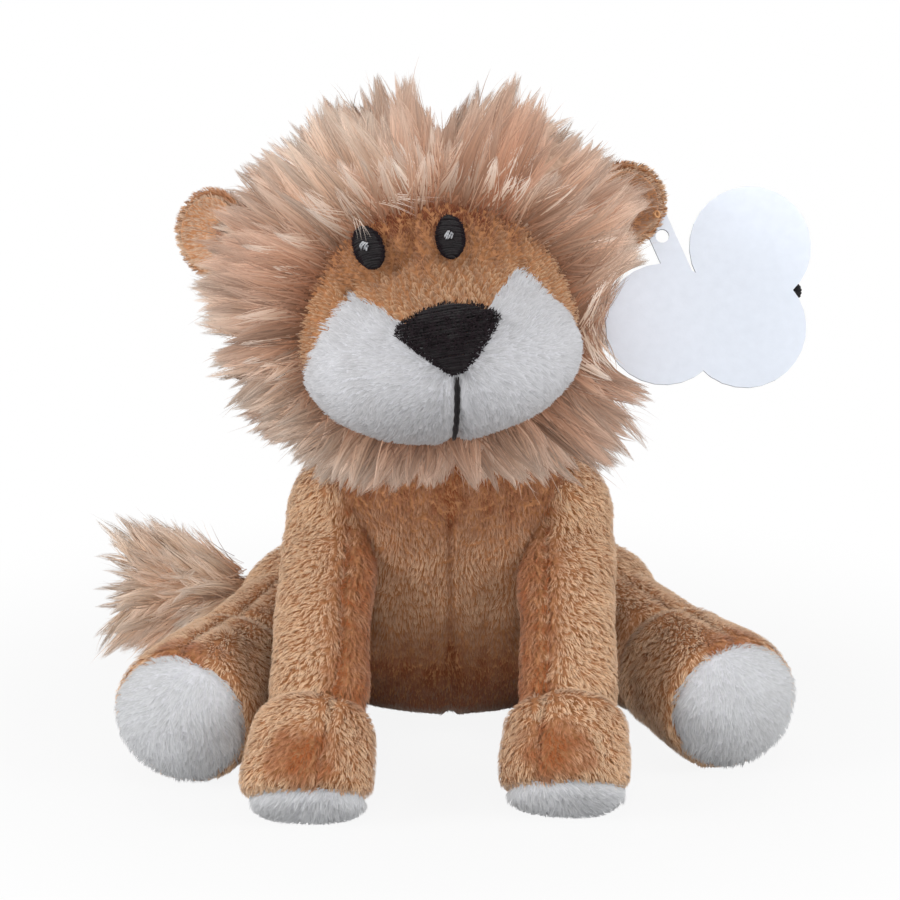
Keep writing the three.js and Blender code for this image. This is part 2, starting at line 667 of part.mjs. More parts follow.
function forelegPieces() {
  const pieces = {};
  sides.forEach(({ side, sign }) => {
    const path = limbPath(shoulderPoint(sign), forelegReach, forelegPathShares[side]);
    const size = { width: forepawWidth, height: forepawHeight };
    const tube = { path, ...size, swellShares: forelegSwellShares, roundShare: pawRoundShare };
    const sole = soleCut(path, forepawSoleNormal, forepawSoleDepth);
    const made = limb({
      ballCentre: shoulderPoint(sign),
      ballRadius: shoulderRadius,
      ballWidth: shoulderWidth,
      tube,
      wrist: acrossPath(path, forepawWristShare),
      sole,
      swing: { axis: xAxis.clone().negate(), range: forelegSwing },
    });
    pieces[`foreleg_${side}`] = made.sleeve;
    pieces[`forepaw_${side}`] = made.paw;
    pieces[`forepaw_sole_${side}`] = made.sole;
    pieces[`foreleg_filling_${side}`] = made.filling;
  });
  return pieces;
}

function hindLegPieces() {
  const pieces = {};
  sides.forEach(({ side, sign }) => {
    const path = limbPath(hipPoint(sign), hindLegReach, hindLegPathShares[side]);
    const size = { width: hindFootWidth, height: hindFootHeight };
    const tube = { path, ...size, swellShares: hindLegSwellShares, roundShare: pawRoundShare };
    const { normal } = acrossPath(path, 1);
    const made = limb({
      ballCentre: hipPoint(sign),
      ballRadius: hipRadius,
      ballWidth: 2 * hipRadius,
      tube,
      wrist: acrossPath(path, hindAnkleShare),
      sole: soleCut(path, normal, hindSoleDepth),
      swing: { axis: up, range: sign * hindLegSwing },
    });
    pieces[`hind_leg_${side}`] = made.sleeve;
    pieces[`hind_foot_${side}`] = made.paw;
    pieces[`hind_sole_${side}`] = made.sole;
    pieces[`hind_leg_filling_${side}`] = made.filling;
  });
  return pieces;
}

// Tail: a thin sewn tube that leaves the back to the viewer's left, with a tuft of long pile at its end
const tailBendShares = [-0.45, 0.171, -0.013];
const tailEndShares = [-1, 0.105, 0.026];
const alongTail = (shares) => tailPoint.clone().addScaledVector(vec(...shares), tailReach);
const tuftPointing = vec(-1, -0.3, 0.1).normalize();
const tuftBluntShare = 0.3;
const tailSwellShares = [1, 1, 1];
const tuftSwellShares = [0.4, 0.8, 1, 1, 0.86, 0.5, 0.3];
const tuftTipShare = 0.16;
const tuftFine = { sides: 2 * tuftTips, rings: 7 };

function tailPieces() {
  const tailEnd = alongTail(tailEndShares);
  const path = [tailPoint, alongTail(tailBendShares), tailEnd];
  const round = { width: tailWidth, height: tailWidth };
  const tube = stuffedTube({ path, ...round, swellShares: tailSwellShares }, coreFine);
  const start = tailEnd.clone().addScaledVector(tuftPointing, -tuftSeat);
  const across = new THREE.Vector3().crossVectors(tuftPointing, up).normalize();
  const over = new THREE.Vector3().crossVectors(across, tuftPointing);
  const tuft = poledSurface(tuftFine, (along, around) => {
    const angle = around * fullTurn;
    const tips = 1 + tuftTipShare * Math.cos(tuftTips * angle) * along;
    const swell = readShares(tuftSwellShares, along) * bluntness(along, tuftBluntShare) * tips;
    return start.clone()
      .addScaledVector(tuftPointing, tuftLength * along)
      .addScaledVector(across, Math.cos(angle) * halfOf(tuftDepth) * swell)
      .addScaledVector(over, Math.sin(angle) * halfOf(tuftWidth) * swell);
  });
  const torso = torsoForm(seamGap, torsoFine);
  const root = ball(tailPoint, halfOf(tailRootWidth), { fine: coreFine });
  return {
    tail: cut(solidOf(tube), torso).add(root),
    tail_tuft: largestPiece(cut(solidOf(tuft), solidOf(grown(tube, seamGap)))),
  };
}

// Tag: a card of three round lobes. Its frame has the hole at the origin, the card's middle line down -Z and
// its front towards -Y. Its tab is caught behind the right ear by a thread
const tagHole = vec(earHeight - earSeat - tagHoleFromTip, -tagHoleAheadOfEar, -halfOf(earWidth) - tagHoleBelowEar)
  .applyMatrix4(headFrame.clone().multiply(earFrame('right', 1)));
const tagFrame = new THREE.Matrix4()
  .makeTranslation(tagHole.x, tagHole.y, tagHole.z)
  .multiply(new THREE.Matrix4().makeRotationX(-tagTilt * degree))
  .multiply(new THREE.Matrix4().makeRotationY(-tagTurn * degree));
const inTagFrame = (geometry) => solidOf(geometry.applyMatrix4(tagFrame));

/** A round pin or disc across the card. */
function tagDisc(x, z, radius, length, fineSides = outlineSteps) {
  return new THREE.CylinderGeometry(radius, radius, length, fineSides).translate(x, 0, z);
}

const tabDirection = new THREE.Vector2(0, 1).rotateAround(new THREE.Vector2(), -tagTabSlant * degree);
const threadAt = tabDirection.clone().multiplyScalar(threadFromHole);

/** The card, and the cutter for the thread's hole, which the ear needs too. */
function tagCard() {
  const nearLobes = [-tagNearLobeAside, tagNearLobeAside].map((x) => [x, -tagNearLobeDrop]);
  const discs = [...nearLobes, [0, -tagFarLobeDrop]].map(([x, z]) => (
    inTagFrame(tagDisc(x, z, tagLobeRadius, tagThickness, 2 * outlineSteps))));
  const tab = new THREE.BoxGeometry(tagTabWidth, tagThickness, tagTabLength + tagNearLobeDrop);
  tab.translate(0, 0, halfOf(tagTabLength - tagNearLobeDrop));
  tab.rotateY(tagTabSlant * degree);
  const blank = discs.reduce((sum, disc) => sum.add(disc), inTagFrame(tab));
  const hole = inTagFrame(tagDisc(0, 0, tagHoleRadius, cutOverrun));
  const threadHole = inTagFrame(tagDisc(threadAt.x, threadAt.y, threadHoleRadius, cutOverrun));
  return { tag: cut(blank, hole, threadHole), threadHole };
}

/** The thread through the tab and the ear, with a flat knot at each end. */
function threadSolid() {
  const back = halfOf(tagThickness) + seamGap;
  const profile = [
    [0, back + threadKnotLength], [threadKnotRadius, back + threadKnotLength], [threadKnotRadius, back],
    [threadRadius, back], [threadRadius, -threadReach], [threadKnotRadius, -threadReach],
    [threadKnotRadius, -threadReach - threadKnotLength], [0, -threadReach - threadKnotLength],
  ].map(([radius, y]) => new THREE.Vector2(radius, y));
  const lathe = new THREE.LatheGeometry(profile.reverse(), coreFine.sides);
  return inTagFrame(lathe.translate(threadAt.x, 0, threadAt.y));
}

/** A small dark knot behind the card, which shows in the notch between two of its lobes. */
function knotSolid() {
  const size = halves(knotWidth, knotWidth, knotHeight);
  const bead = poledSurface(coreFine, (along, around) => onSphere(along, around).multiply(size));
  bead.rotateY(tagTurn * degree);
  const behind = halfOf(tagThickness) + seamGap + halfOf(knotWidth);
  return inTagFrame(bead.translate(knotAside, behind, -knotDrop));
}

// The whole lion, as groups that turn on one another
const colours = [
  [/filling/, fibre], [/^muzzle|sole/, whitePlush], [/^(nose|mouth|eye_(left|right)|tag_knot)/, blackThread],
  [/^eye_light/, lightThread], [/^mane|tuft/, longPile], [/^ear_lining/, earCloth], [/^tag$/, whiteCard],
];
const materialFor = (name) => (colours.find(([pattern]) => pattern.test(name)) ?? [null, tanPlush])[1]();

/** A group placed by a matrix, holding pieces that are given in the lion's own frame. */
function groupAt(parent, frame, pieces) {
  const group = new THREE.Group();
  group.applyMatrix4(parent.matrixWorld.clone().invert().multiply(frame));
  parent.add(group);
  group.updateMatrixWorld(true);
  const toLocal = group.matrixWorld.clone().invert();
  Object.entries(pieces).forEach(([name, solid]) => {
    const { vertProperties, numProp, triVerts } = solid.getMesh();
    const geometry = new THREE.BufferGeometry();
    geometry.setAttribute('position', new THREE.Float32BufferAttribute(vertProperties, numProp));
    geometry.setIndex(new THREE.Uint32BufferAttribute(triVerts, 1));
    geometry.applyMatrix4(toLocal);
    geometry.computeVertexNormals();
    const mesh = new THREE.Mesh(geometry, materialFor(name));
    mesh.name = name;
    group.add(mesh);
  });
  return group;
}

const at = (point) => new THREE.Matrix4().makeTranslation(point.x, point.y, point.z);

function pick(pieces, pattern) {
  return Object.fromEntries(Object.entries(pieces).filter(([name]) => pattern.test(name)));
}

const lion = new THREE.Group();
const { neck_filling: neckFilling, ...torso } = torsoPieces();
const torsoGroup = groupAt(lion, at(vec(0, 0, 0)), torso);
const neckGroup = groupAt(torsoGroup, at(neckPoint), { neck_filling: neckFilling });
const headGroup = groupAt(neckGroup, headFrame, {
  ...headPieces(),
  ...embroideryPieces(),
  mane: maneSolid(),
});

const { tag, threadHole } = tagCard();
const ears = earPieces();
sides.forEach(({ side, sign }) => {
  const pieces = pick(ears, new RegExp(side));
  if (side === 'right') {
    pieces.ear_right = cut(pieces.ear_right, threadHole);
    pieces.ear_lining_right = cut(pieces.ear_lining_right, threadHole);
    pieces.tag_thread = threadSolid();
  }
  const earGroup = groupAt(headGroup, headFrame.clone().multiply(earFrame(side, sign)), pieces);
  if (side === 'right') {
    groupAt(earGroup, tagFrame, { tag, tag_knot: knotSolid() });
  }
});

const forelegSolids = forelegPieces();
const hindLegSolids = hindLegPieces();
sides.forEach(({ side, sign }) => {
  groupAt(torsoGroup, at(shoulderPoint(sign)), pick(forelegSolids, new RegExp(side)));
  groupAt(torsoGroup, at(hipPoint(sign)), pick(hindLegSolids, new RegExp(side)));
});
groupAt(torsoGroup, at(tailPoint), tailPieces());

export default lion;
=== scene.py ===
import math

import bpy
import numpy as np
from mathutils import Matrix, Vector
from mathutils.bvhtree import BVHTree


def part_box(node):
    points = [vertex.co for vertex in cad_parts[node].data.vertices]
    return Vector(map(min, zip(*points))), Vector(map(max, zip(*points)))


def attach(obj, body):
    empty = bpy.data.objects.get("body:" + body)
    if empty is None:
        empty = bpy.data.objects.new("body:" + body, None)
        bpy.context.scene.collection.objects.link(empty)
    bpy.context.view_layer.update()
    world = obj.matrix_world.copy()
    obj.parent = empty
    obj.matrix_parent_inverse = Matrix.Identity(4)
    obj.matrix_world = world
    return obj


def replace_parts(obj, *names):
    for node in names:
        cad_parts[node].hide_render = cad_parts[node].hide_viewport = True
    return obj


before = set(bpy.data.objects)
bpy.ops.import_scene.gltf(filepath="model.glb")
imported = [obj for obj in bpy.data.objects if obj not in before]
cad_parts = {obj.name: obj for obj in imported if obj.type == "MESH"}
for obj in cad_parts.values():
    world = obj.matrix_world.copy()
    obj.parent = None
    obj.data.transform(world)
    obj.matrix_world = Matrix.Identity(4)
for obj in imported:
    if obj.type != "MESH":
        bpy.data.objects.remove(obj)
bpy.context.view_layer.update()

METRE = 0.001                      # metres in a millimetre
TURN = 2 * math.pi
SIDES = (("left", -1), ("right", 1))
UP, FORWARD = np.array([0, 0, 1]), np.array([0, -1, 0])   # the lion's own

# How finely the forms are made
PATH_STEPS, PATH_MARKS, PATH_TANGENT_SHARE = 120, 80, 0.01
TUBE_RINGS, TUBE_SIDES, BALL_FINENESS, SEAT_FINENESS = 90, 48, 24, 32
TORSO_RINGS, TORSO_SIDES, HEAD_RINGS, HEAD_SIDES = 48, 72, 96, 144
CORE_COLUMNS, CORE_ROWS, EAR_RINGS, EAR_SIDES, TUFT_RINGS, TUFT_SIDES = 120, 14, 26, 56, 24, 32
TORSO_SMOOTHING, HEAD_SMOOTHING, LIMB_SMOOTHING, TAIL_SMOOTHING = 30, 4, 22, 6
NOISE_WAVES = 5
CELL_SIDES, CELL_START, CELL_LENGTH = [0.2, 0.8], 0.1, 0.8   # a strand's place in its cell of the bake
HALVINGS, SLOPE_STEP = 26, 0.3      # of the search for the head's surface, and to either side for its slope

# Torso, head and limbs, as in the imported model
TORSO_HEIGHT, TORSO_WIDTH, TORSO_DEPTH, TORSO_LEAN = 66, 78, 66, 14
CHEST_RADIUS, NECK_HEIGHT = 25, 53
HEAD_ABOVE_NECK, HEAD_BEFORE_NECK, HEAD_YAW, HEAD_ROLL = 48, 8, 6, 7.5
HEAD_WIDTH, HEAD_DEPTH, HEAD_HEIGHT = 77, 72, 65
MUZZLE_WIDTH, MUZZLE_DEPTH, MUZZLE_HEIGHT = 55, 46, 32
MUZZLE_FORWARD, MUZZLE_DROP, MUZZLE_PANEL_BACK = 32, 9.5, 24
LOBE_SHARPNESS = 7                 # how tightly the head and the muzzle flow into each other
EYE_WIDTH, EYE_HEIGHT, EYE_SPACING, EYES_ASIDE, EYES_UP, EYE_TILT = 6.6, 9.6, 16.4, 4, 15.6, 8
NOSE_WIDTH, NOSE_HEIGHT, NOSE_DROP = 22, 12.8, 1.2
BROW_START, BROW_END = 6, 20       # heights on the head between which the painted shade of the mane's shadow deepens on the face
MOUTH_LENGTH, MOUTH_SLANT = 14, 7
MANE_REACH, MANE_BAND_WIDTH, MANE_FORWARD, MANE_SWEEP = 55, 26, 12, 3
MANE_PARTING_WIDTH, MANE_PARTING_DEPTH, MANE_PARTING_ANGLE = 10, 10, 78
EAR_WIDTH, EAR_HEIGHT, EAR_THICKNESS, EAR_CUP, EAR_SEAT, EAR_BACK = 20, 21, 2, 3.2, 1.5, 9
EAR_RISE, EAR_LEAN = {"left": 21, "right": 13}, {"left": 42, "right": 4}
SHOULDER_RADIUS, SHOULDER_WIDTH, SHOULDER_HEIGHT, SHOULDER_SPREAD, SHOULDER_FORWARD = 15, 22.8, 48, 25.2, 18
# Fullness of the chest towards each shoulder
YOKE_SPREAD, YOKE_FORWARD, YOKE_RISE, YOKE_RADIUS = 16, 2.5, 1, 15.5
FORELEG_REACH, FOREPAW_WIDTH, FOREPAW_HEIGHT, FOREPAW_SOLE_DEPTH, FOREPAW_SOLE_ANGLE = 62.5, 28.5, 25, 5.5, 30
HIP_RADIUS, HIP_SPREAD, HIP_BACK, HIND_LEG_REACH = 18.8, 31, 4, 66.5
HIND_FOOT_WIDTH, HIND_FOOT_HEIGHT, HIND_SOLE_DEPTH = 33, 30.5, 7.5
TAIL_WIDTH, TAIL_ROOT_WIDTH, TAIL_ROOT_ASIDE, TAIL_ROOT_BACK = 7.2, 8.4, 17, 30.5
TAIL_HEIGHT, TAIL_REACH = 15, 38
TUFT_LENGTH, TUFT_WIDTH, TUFT_DEPTH, TUFT_SEAT = 34, 30, 20, 4
TAG_HOLE_FROM_TIP, TAG_HOLE_BELOW_EAR, TAG_HOLE_AHEAD_OF_EAR = 3.9, 0.1, 2.6
TAG_TURN, TAG_TAB_SLANT, TAG_TILT, TAG_THICKNESS = 42, 18, 18, 1
TAG_NEAR = 28                      # hair that stays on this side of the tag is left as it is
TAG_ROOM = 2.8                     # the face's pile stays this far from the tag
TAG_MARGINS = (Vector((0, 0, 0)), Vector((0.8, 0, 0)), Vector((1.6, 0, 0)))
TAG_OVERLAP = Vector((1.8, 0, 0))  # how far hair that is pressed flat may reach over the tag's edge
TAG_LOBE_DROP = 6                  # from the tag's middle down to that of the lobe beside the mane
TAG_SWEEPS = (20, 40, 60, 75, 90)  # degrees that hair there turns aside, the least first
TAG_SWEEP_SPREAD = 4               # how unevenly it parts into what turns up and what turns down
TAG_STUB_STEPS = 3                 # hair cut as short as this is left out
THREAD_FROM_HOLE, THREAD_REACH = 4.2, 5.6
FLOOR_SINK, SEAM_GAP = 0.5, 0.3

# Creases of the face, across and up from the head's middle, each with its share of the depth: under the left
# eye, under the right eye, and down from the nose
CREASES = (
    ([(-17.6, 7.5), (-13.9, 9), (-8.5, 11.2), (-3.6, 13.6), (-3, 18)], 1),
    ([(4.2, 10.8), (9, 10.6), (13, 9.8), (17.6, 7.5)], 0.6),
    ([(0, -8), (-1.5, -24)], 0.9),
)
# Shares that the shapes follow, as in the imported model
TORSO_BLUNT_SHARE = 0.12
TORSO_WIDTH_SHARES = [0.72, 0.87, 0.99, 0.98, 0.9, 0.79, 0.68, 0.58, 0.4]
TORSO_DEPTH_SHARES = [0.7, 0.86, 1, 0.97, 0.9, 0.85, 0.77, 0.62, 0.4]
TORSO_LEAN_SHARES = [0, 0, 0.04, 0.2, 0.46, 0.7, 0.92, 1, 1]
PANEL_SHARES = [
    (0, -0.75), (0, 0.12), (-0.28, 0.36), (-0.5, 0.47), (-0.64, 0.53), (-0.78, 0.4),
    (-0.97, 0.2), (-1.1, -0.1), (-1.1, -0.75),
]
NOSE_SHARES = [
    (-1, 0.36), (-0.86, 0.62), (-0.5, 0.84), (0, 1), (0.5, 0.88), (0.86, 0.66), (1, 0.4),
    (0.8, 0.05), (0.45, -0.5), (0.12, -0.95), (-0.12, -0.95), (-0.45, -0.5), (-0.8, 0.05),
]
MANE_REACH_SHARES = [0.74, 0.97, 0.9, 0.83, 0.82, 0.87, 0.88, 0.85, 0.76, 0.66, 0.86, 0.84, 0.74]
HAIR_REACH_SHARES = [
    0.89, 0.9, 0.88, 0.82, 0.875, 0.84, 0.83, 0.825, 0.875, 0.865, 0.875, 0.9, 0.88,
    0.865, 0.84, 0.83, 0.775, 0.757, 0.73, 0.8, 0.89, 0.97, 0.91, 0.873, 0.89,
]
FORELEG_PATH_SHARES = {
    "left": [(1.071, 0.384, 0.719), (1.095, 0.672, 0.417), (1.21, 1, 0.021)],
    "right": [(1, 0.368, 0.719), (0.984, 0.624, 0.417), (0.897, 0.944, 0.031)],
}
HIND_LEG_PATH_SHARES = {
    "left": [(1.355, 0.331, 0.929), (1.629, 0.632, 0.852), (1.903, 1, 0.792)],
    "right": [(1.387, 0.271, 0.929), (1.71, 0.526, 0.852), (2.048, 0.872, 0.792)],
}
FORELEG_SWELL_SHARES = [0.82, 0.81, 0.78, 0.76, 0.75, 0.76, 0.8, 0.97, 1, 0.98]
HIND_LEG_SWELL_SHARES = [0.86, 0.96, 0.96, 0.92, 0.9, 0.92, 0.98, 1, 1, 0.96]
PAW_ROUND_SHARE, FOREPAW_WRIST_SHARE, HIND_ANKLE_SHARE = 0.65, 0.67, 0.48
TAIL_BEND_SHARES, TAIL_END_SHARES = (-0.45, 0.171, -0.013), (-1, 0.105, 0.026)
TUFT_POINTING_SHARES = (-1, -0.3, 0.1)
TUFT_SWELL_SHARES = [0.4, 0.8, 1, 1, 0.86, 0.5, 0.3]

# Cloth
SKIN_INSET = 0.9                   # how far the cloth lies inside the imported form, so that its pile fills it
VOXEL = 0.9
SMOOTHING = 0.5                    # how far one round of smoothing moves the skin
FLOOR_CLEARANCE = 0.08
FLATTEN_HEIGHT = 5                 # the skin settles on to the floor over this height
GROOVE_WIDTH = 1.0
SEAM_DEPTH, SEAM_WIDTH = 1.0, 0.9  # the sewn seams down the torso and along the limbs
MUZZLE_SEAM_DEPTH, PANEL_BACK_EDGE = 0.8, 2
NO_GROOVE = 9                      # grooves' widths away, where nothing is drawn in
CREASE_DEPTH, CREASE_WIDTH = 1.3, 1.6
WRIST_DEPTH, WRIST_WIDTH = 1.1, 2.2
PAW_SWELL, PAW_SWELL_FROM_WRIST, PAW_SWELL_WIDTH = 0.6, 4, 3
LIMB_SEAM_START_SHARE = 0.12       # of a limb's length, where the seam over it leaves the ball
HOLLOW_EDGE = 0.4                  # the torso's pile stops this far from the balls of the hind legs and tail,
HOLLOW_RIM = 2.5                   # and its cloth swells towards them over this width
UNEVENNESS = 0.35                  # how far the filling pushes the cloth in and out,
TORSO_LUMP, HEAD_LUMP, LIMB_LUMP = 26, 24, 17   # over these lengths
HEAD_UNEVENNESS = 0.3

# Pile: lengths, widths of the strands, and how strongly and over what size their tips draw together
PILE_PER_AREA = 6.5                # strands in a square millimetre
PILE_LENGTH, PILE_WIDTH, PILE_CLUMP, PILE_PULL = 2.1, 0.2, 1.4, 0.5
PILE_LIFT, FACE_LIFT, WHITE_LIFT, EAR_LIFT = (6, 30), (20, 60), (8, 28), (8, 30)   # degrees from the skin
PILE_DRIFT, PILE_DRIFT_SIZE, PILE_STRAY = 34, 11, 14   # degrees that its lay drifts and strays
PILE_LENGTH_SHARES, PILE_WIDTH_SHARES = (0.7, 1.15), (0.7, 1.3)
PILE_SWELL_SHARE, PILE_SWELL_SIZE = 0.12, 14
PILE_ARCH_SHARE, PILE_ROOT_DEPTH = 0.12, 0.3
PATCH_SHARES, PATCH_SIZES = (0.4, 0.3, 0.2), (24, 7)   # the usual darkness, and its drift over two sizes
SHADE_DRIFT_SHARE, SHADE_DRIFT_SIZE = 0.15, 5
FACING_SPREAD = 0.14               # how unevenly the strands face
TORSO_LENGTH, TORSO_CLUMP = 1.7, (1.0, 1.0, 2.2)
TORSO_SHADE_AT_SHARES = [0, 0.28, 0.5, 0.68, 0.85, 1]     # of the torso's height, for the next line
TORSO_SHADE_SHARES = [1.0, 0.85, 0.25, 0.35, 0.75, 0.8]   # how dark the painted shade of its pile is there
# Painted shade in the furrow of the middle seam; how squarely the seam's stretch faces forward; how far the
# hanging pile leans forward
SEAM_SHADE_SHARE, SEAM_FRONT_SHARE, TORSO_HANG_SHARE = 0.3, 0.2, 0.2
FACE_LENGTH, FACE_CLUMP, FACE_PULL = 1.3, (2.2, 1.2, 0.8), 0.75
FACE_SHADE_SHARES = (0.35, 0.6)    # painted shade at the bridge of the nose, and more at the brow, in the mane's shadow
WHITE_LENGTH, WHITE_WIDTH, MUZZLE_CLUMP = 2.8, 0.18, 1.8
EAR_PILE_LENGTH, EAR_INSET, EAR_RIM_INSETS = 1.8, 0.2, (0.8, 2.4)
EAR_ROUND_SHARE, EAR_RIM_SHARPNESS, EAR_HOLLOW_DEPTH_SHARE, EAR_LINING_THICKNESS = 0.8, 6, 1.2, 1
EAR_HOLLOW_SHARES = {"left": (0.3, 0.3), "right": (0.45, 0.5)}  # how far up the painted shade in the ear's hollow sits, and its radius
# Painted shade along the furrow of a limb's seam, where the pile parts: its spread, the size of its
# unevenness, and its base and strength
RUFFLE_SPREAD, RUFFLE_SIZE, RUFFLE_SHADE_SHARES = 2.0, 4, (0.5, 0.5)
FORELEG_SEAM_INWARDS = 4.6
# Painted shade of a limb's sides, pale on the outer side as if lit from there: at the middle of a foreleg and
# of a hind leg, how fast it deepens inwards, its limits, and how much of it leaves the paw
LEG_SHADE_SHARE, HIND_SHADE_SHARE, INNER_SHADE_SHARE = 0.25, 0.05, 1.5
SHADE_LIMIT_SHARES, PAW_SHADE_SHARE = (0.05, 0.8), 0.6
PAW_FADE_SHARE = 0.05              # of a limb's length, over which the painted side shade lessens on the paw past the wrist
BRUSH_SHARE, BRUSH_RISE_SHARE, BRUSH_SPREAD = 0.87, 0.8, 7.5  # the brushed spot on a paw: along, out, size
BRUSH_SHADE_SHARE, BRUSH_DRIFT_SHARE, BRUSH_DRIFT_SIZE = 0.75, 0.25, 5
BARE_BALL_SHARE = 0.4              # of a ball's radius, where no pile grows because the torso covers it
OUTWARD_SHARE, SOLE_SPREAD_SHARE = 0.35, 0.5    # how much a limb's pile leans outwards, and a sole's apart

# Long hair
LOCK_SPREAD, LOCK_TIP_SHARE, LOCK_CLUMP, LOCK_PULL = 2.6, 0.06, 6, 0.5
HAIR_WIDTH, HAIR_STEPS = 0.28, 8
HAIR_SHORTER_SHARE, HAIR_TAPER_SHARE, HAIR_FANNING_SHARE = 0.5, 0.8, 0.9
STRAY_SHARE, STRAY_REACH_SHARE = 0.03, 0.12
HAIR_WAVE_SHARE, HAIR_KINK_SHARE, HAIR_KINKS = 0.018, 0.008, 3
LOCK_TONE_SHARES = (0.6, 0.4)      # how much of a hair's tone is its lock's and how much its own
TONE_SIZE = 30
HAIR_PARTING_WIDTH, HAIR_PARTING_DEPTH = 12, 12
MANE_ROOT_DEPTH, MANE_TIP_SPREAD, MANE_LEAN_SHARE = 1, 1.5, 0.75
MANE_ROUND_SHARE, MANE_CREST_SHARE = 0.3, 0.45  # how the reach falls to both edges, and where it is full
TUFT_SEED, TUFT_DEPTH_SHARE = 48, 0.2
TUFTING_SHARE, TUFTING_SIZE, SWING_DRIFT_SHARE, SWING_DRIFT_SIZE = 0.08, 9, 0.09, 17
LOCK_BOW_SHARES, LOCK_BACK_SHARES, LOCK_OUT_SHARE = (0.06, 0.05), (1.7, 0.7), 0.7
FORE_DEPTH_SHARES, FORE_SPREAD, FORE_BOW, FORE_OUT_SHARE = (0.02, 0.25), 2.5, (0.5, 2), 0.5
# Locks of the mane: count, seed, shares of the band's depth, shares of the length, swing and hairs in a lock
MANE_ROWS = {
    "mane_front_locks": (360, 41, (0.0, 0.3), (0.85, 1.12), 0.05, 50),
    "mane_middle_locks": (360, 42, (0.25, 0.7), (0.9, 1.22), 0.05, 46),
    "mane_back_locks": (300, 43, (0.65, 1.0), (0.9, 1.18), 0.05, 42),
    "mane_under_locks": (400, 44, (0.0, 0.2), (0.4, 0.8), 0.16, 26),
}
# Locks of its front edge, in the paler hair of painted highlight: count, seed, degrees round the head, rise,
# lean forward and hairs in a lock
FORE_ROWS = {
    "mane_forelocks": (36, 45, (48, 132), (6, 12), (1, 5), 30),
    "mane_side_forelocks": (30, 46, (-30, 210), (6, 11), (2, 5), 26),
}
TUFT_FACING_SHARES = [-0.5, -0.4, 0.6]   # added to the way out, so that the tuft catches the light
TUFT_SPREAD = 2.2
CORE_BAND_SHARE, CORE_SINK, CORE_UNDERSIDE, CORE_ROUND_SHARE = 0.94, 2.5, 4, 0.7
CORE_SHARE = 0.5                   # how much of the mane's reach its solid core fills
CORE_SHARES_AT_TAG = (0.5, 0.35, 0.2, 0.1, 0.02)  # tried in turn where the core would hide the tag
CORE_KEPT_LOW, CORE_EVENED = 4, 3  # columns to either side that stay as low there, and that even it out
# Hairs over the brow: each starts, bends and ends at a place across and up from the head's middle
BROW_STRANDS = (((-17, 23.5), (-9, 25), (-1.5, 21)), ((-17, 23.5), (-13, 23), (-12.4, 16.5)),
                ((-15, 24), (-7, 23), (2, 23)))
BROW_STRAND_COUNT, BROW_STRAND_SPREAD, BROW_STRAND_WIDTH = 24, 0.9, 0.24
BROW_STRAND_LIFT, BROW_STRAND_STEPS, BROW_FACING_SHARES = (1.6, 2.8), 9, [0, -1, 0.3]

# Embroidery
NAP_WIDTH = 0.24
NAP_EDGE = 0.5                     # how much smaller all round the stitches are, so that their nap fills them
NAP_COUNT = 9000                   # black strands tried over the square round an eye or the nose
NAP_SINK, NAP_LEAN_SHARE, NAP_ARCH_SHARE, NAP_LENGTH_SHARES, NAP_CLUMP = 0.2, 0.75, 0.1, (0.6, 1.2), 0.9
NOSE_NAP, EYE_NAP = 1.3, 1.0       # lengths
NAP_REACH_SHARES = (1 / 3, 1 / 5)  # of its length: how far past the stitches it is tried, and grows
NOSE_STEPS = 25
THREAD_SIDES, THREAD_END_SHARES, ASKEW_SHARES = 6, (4, 0.35), [0.13, 0.31, 0.23]
STITCH_STEPS, STITCH_END_SPREAD, STITCH_ROW_SHARES, STITCH_RISE_SPREAD = 15, 0.1, (0.12, 0.2), 0.04
STITCH_TURNS = 6                   # how far along its wave a row can start, in radians
# Spacing of the rows, radius of the thread, its lift from the face and how much the middle is crowned
NOSE_STITCH, EYE_STITCH = (0.42, 0.34, 0.3, 1.1), (0.4, 0.32, 0.4, 0.9)
EYE_LIGHT_STITCH, EYE_LIGHT_POINTS, EYE_LIGHT_STEPS = (0.4, 0.2, 1.7, 0.6), 8, 7
EYE_POINTS, EYE_LIGHT_ASIDE, EYE_LIGHT_RADIUS, EYE_LIGHT_ANGLE = 28, 0.5, 0.9, 0.9
MOUTH_THREAD_OFFSET, MOUTH_THREAD_LIFT, MOUTH_THREAD_RADIUS, MOUTH_WAVE = 0.2, 0.7, 0.4, 0.06
MOUTH_STEPS, MOUTH_RIPPLES = 40, (40, 5)   # how its two threads ripple along it, and apart from each other
# Tuft: its locks' roots and tips along it and out from it, and how they bow
TUFT_LOCKS, TUFT_HAIRS, TUFT_BLUNT_SHARE, TUFT_CORE_SHARES = 260, 30, 0.3, (0.75, 0.6)
TUFT_ROOT_SHARES, TUFT_ROOT_SPREAD_SHARE, TUFT_TIP_SHARES = (0.02, 0.6), 0.3, (0.42, 0.85)
TUFT_REACH_SHARES, TUFT_BOW_SHARES = (0.75, 1.1), (0.8, 1.0)
TAIL_INSET = 1

# Thread through the tag's hole, its two knots, and the black knot on the tag
THREAD_STEPS, PLIES, PLY_TURNS, PLY_RADIUS, PLY_THREAD_RADIUS = 90, 3, 4, 0.2, 0.26
KNOT_TURNS, KNOT_RADII, KNOT_BEYOND, KNOT_WAVE, KNOT_WAVES = 2.5, (0.5, 0.2), (0.35, 0.65), 0.3, (3, 1.5)
WINDING_TURNS, WINDING_SHARE, WINDING_RADIUS = 7, 0.8, 0.45

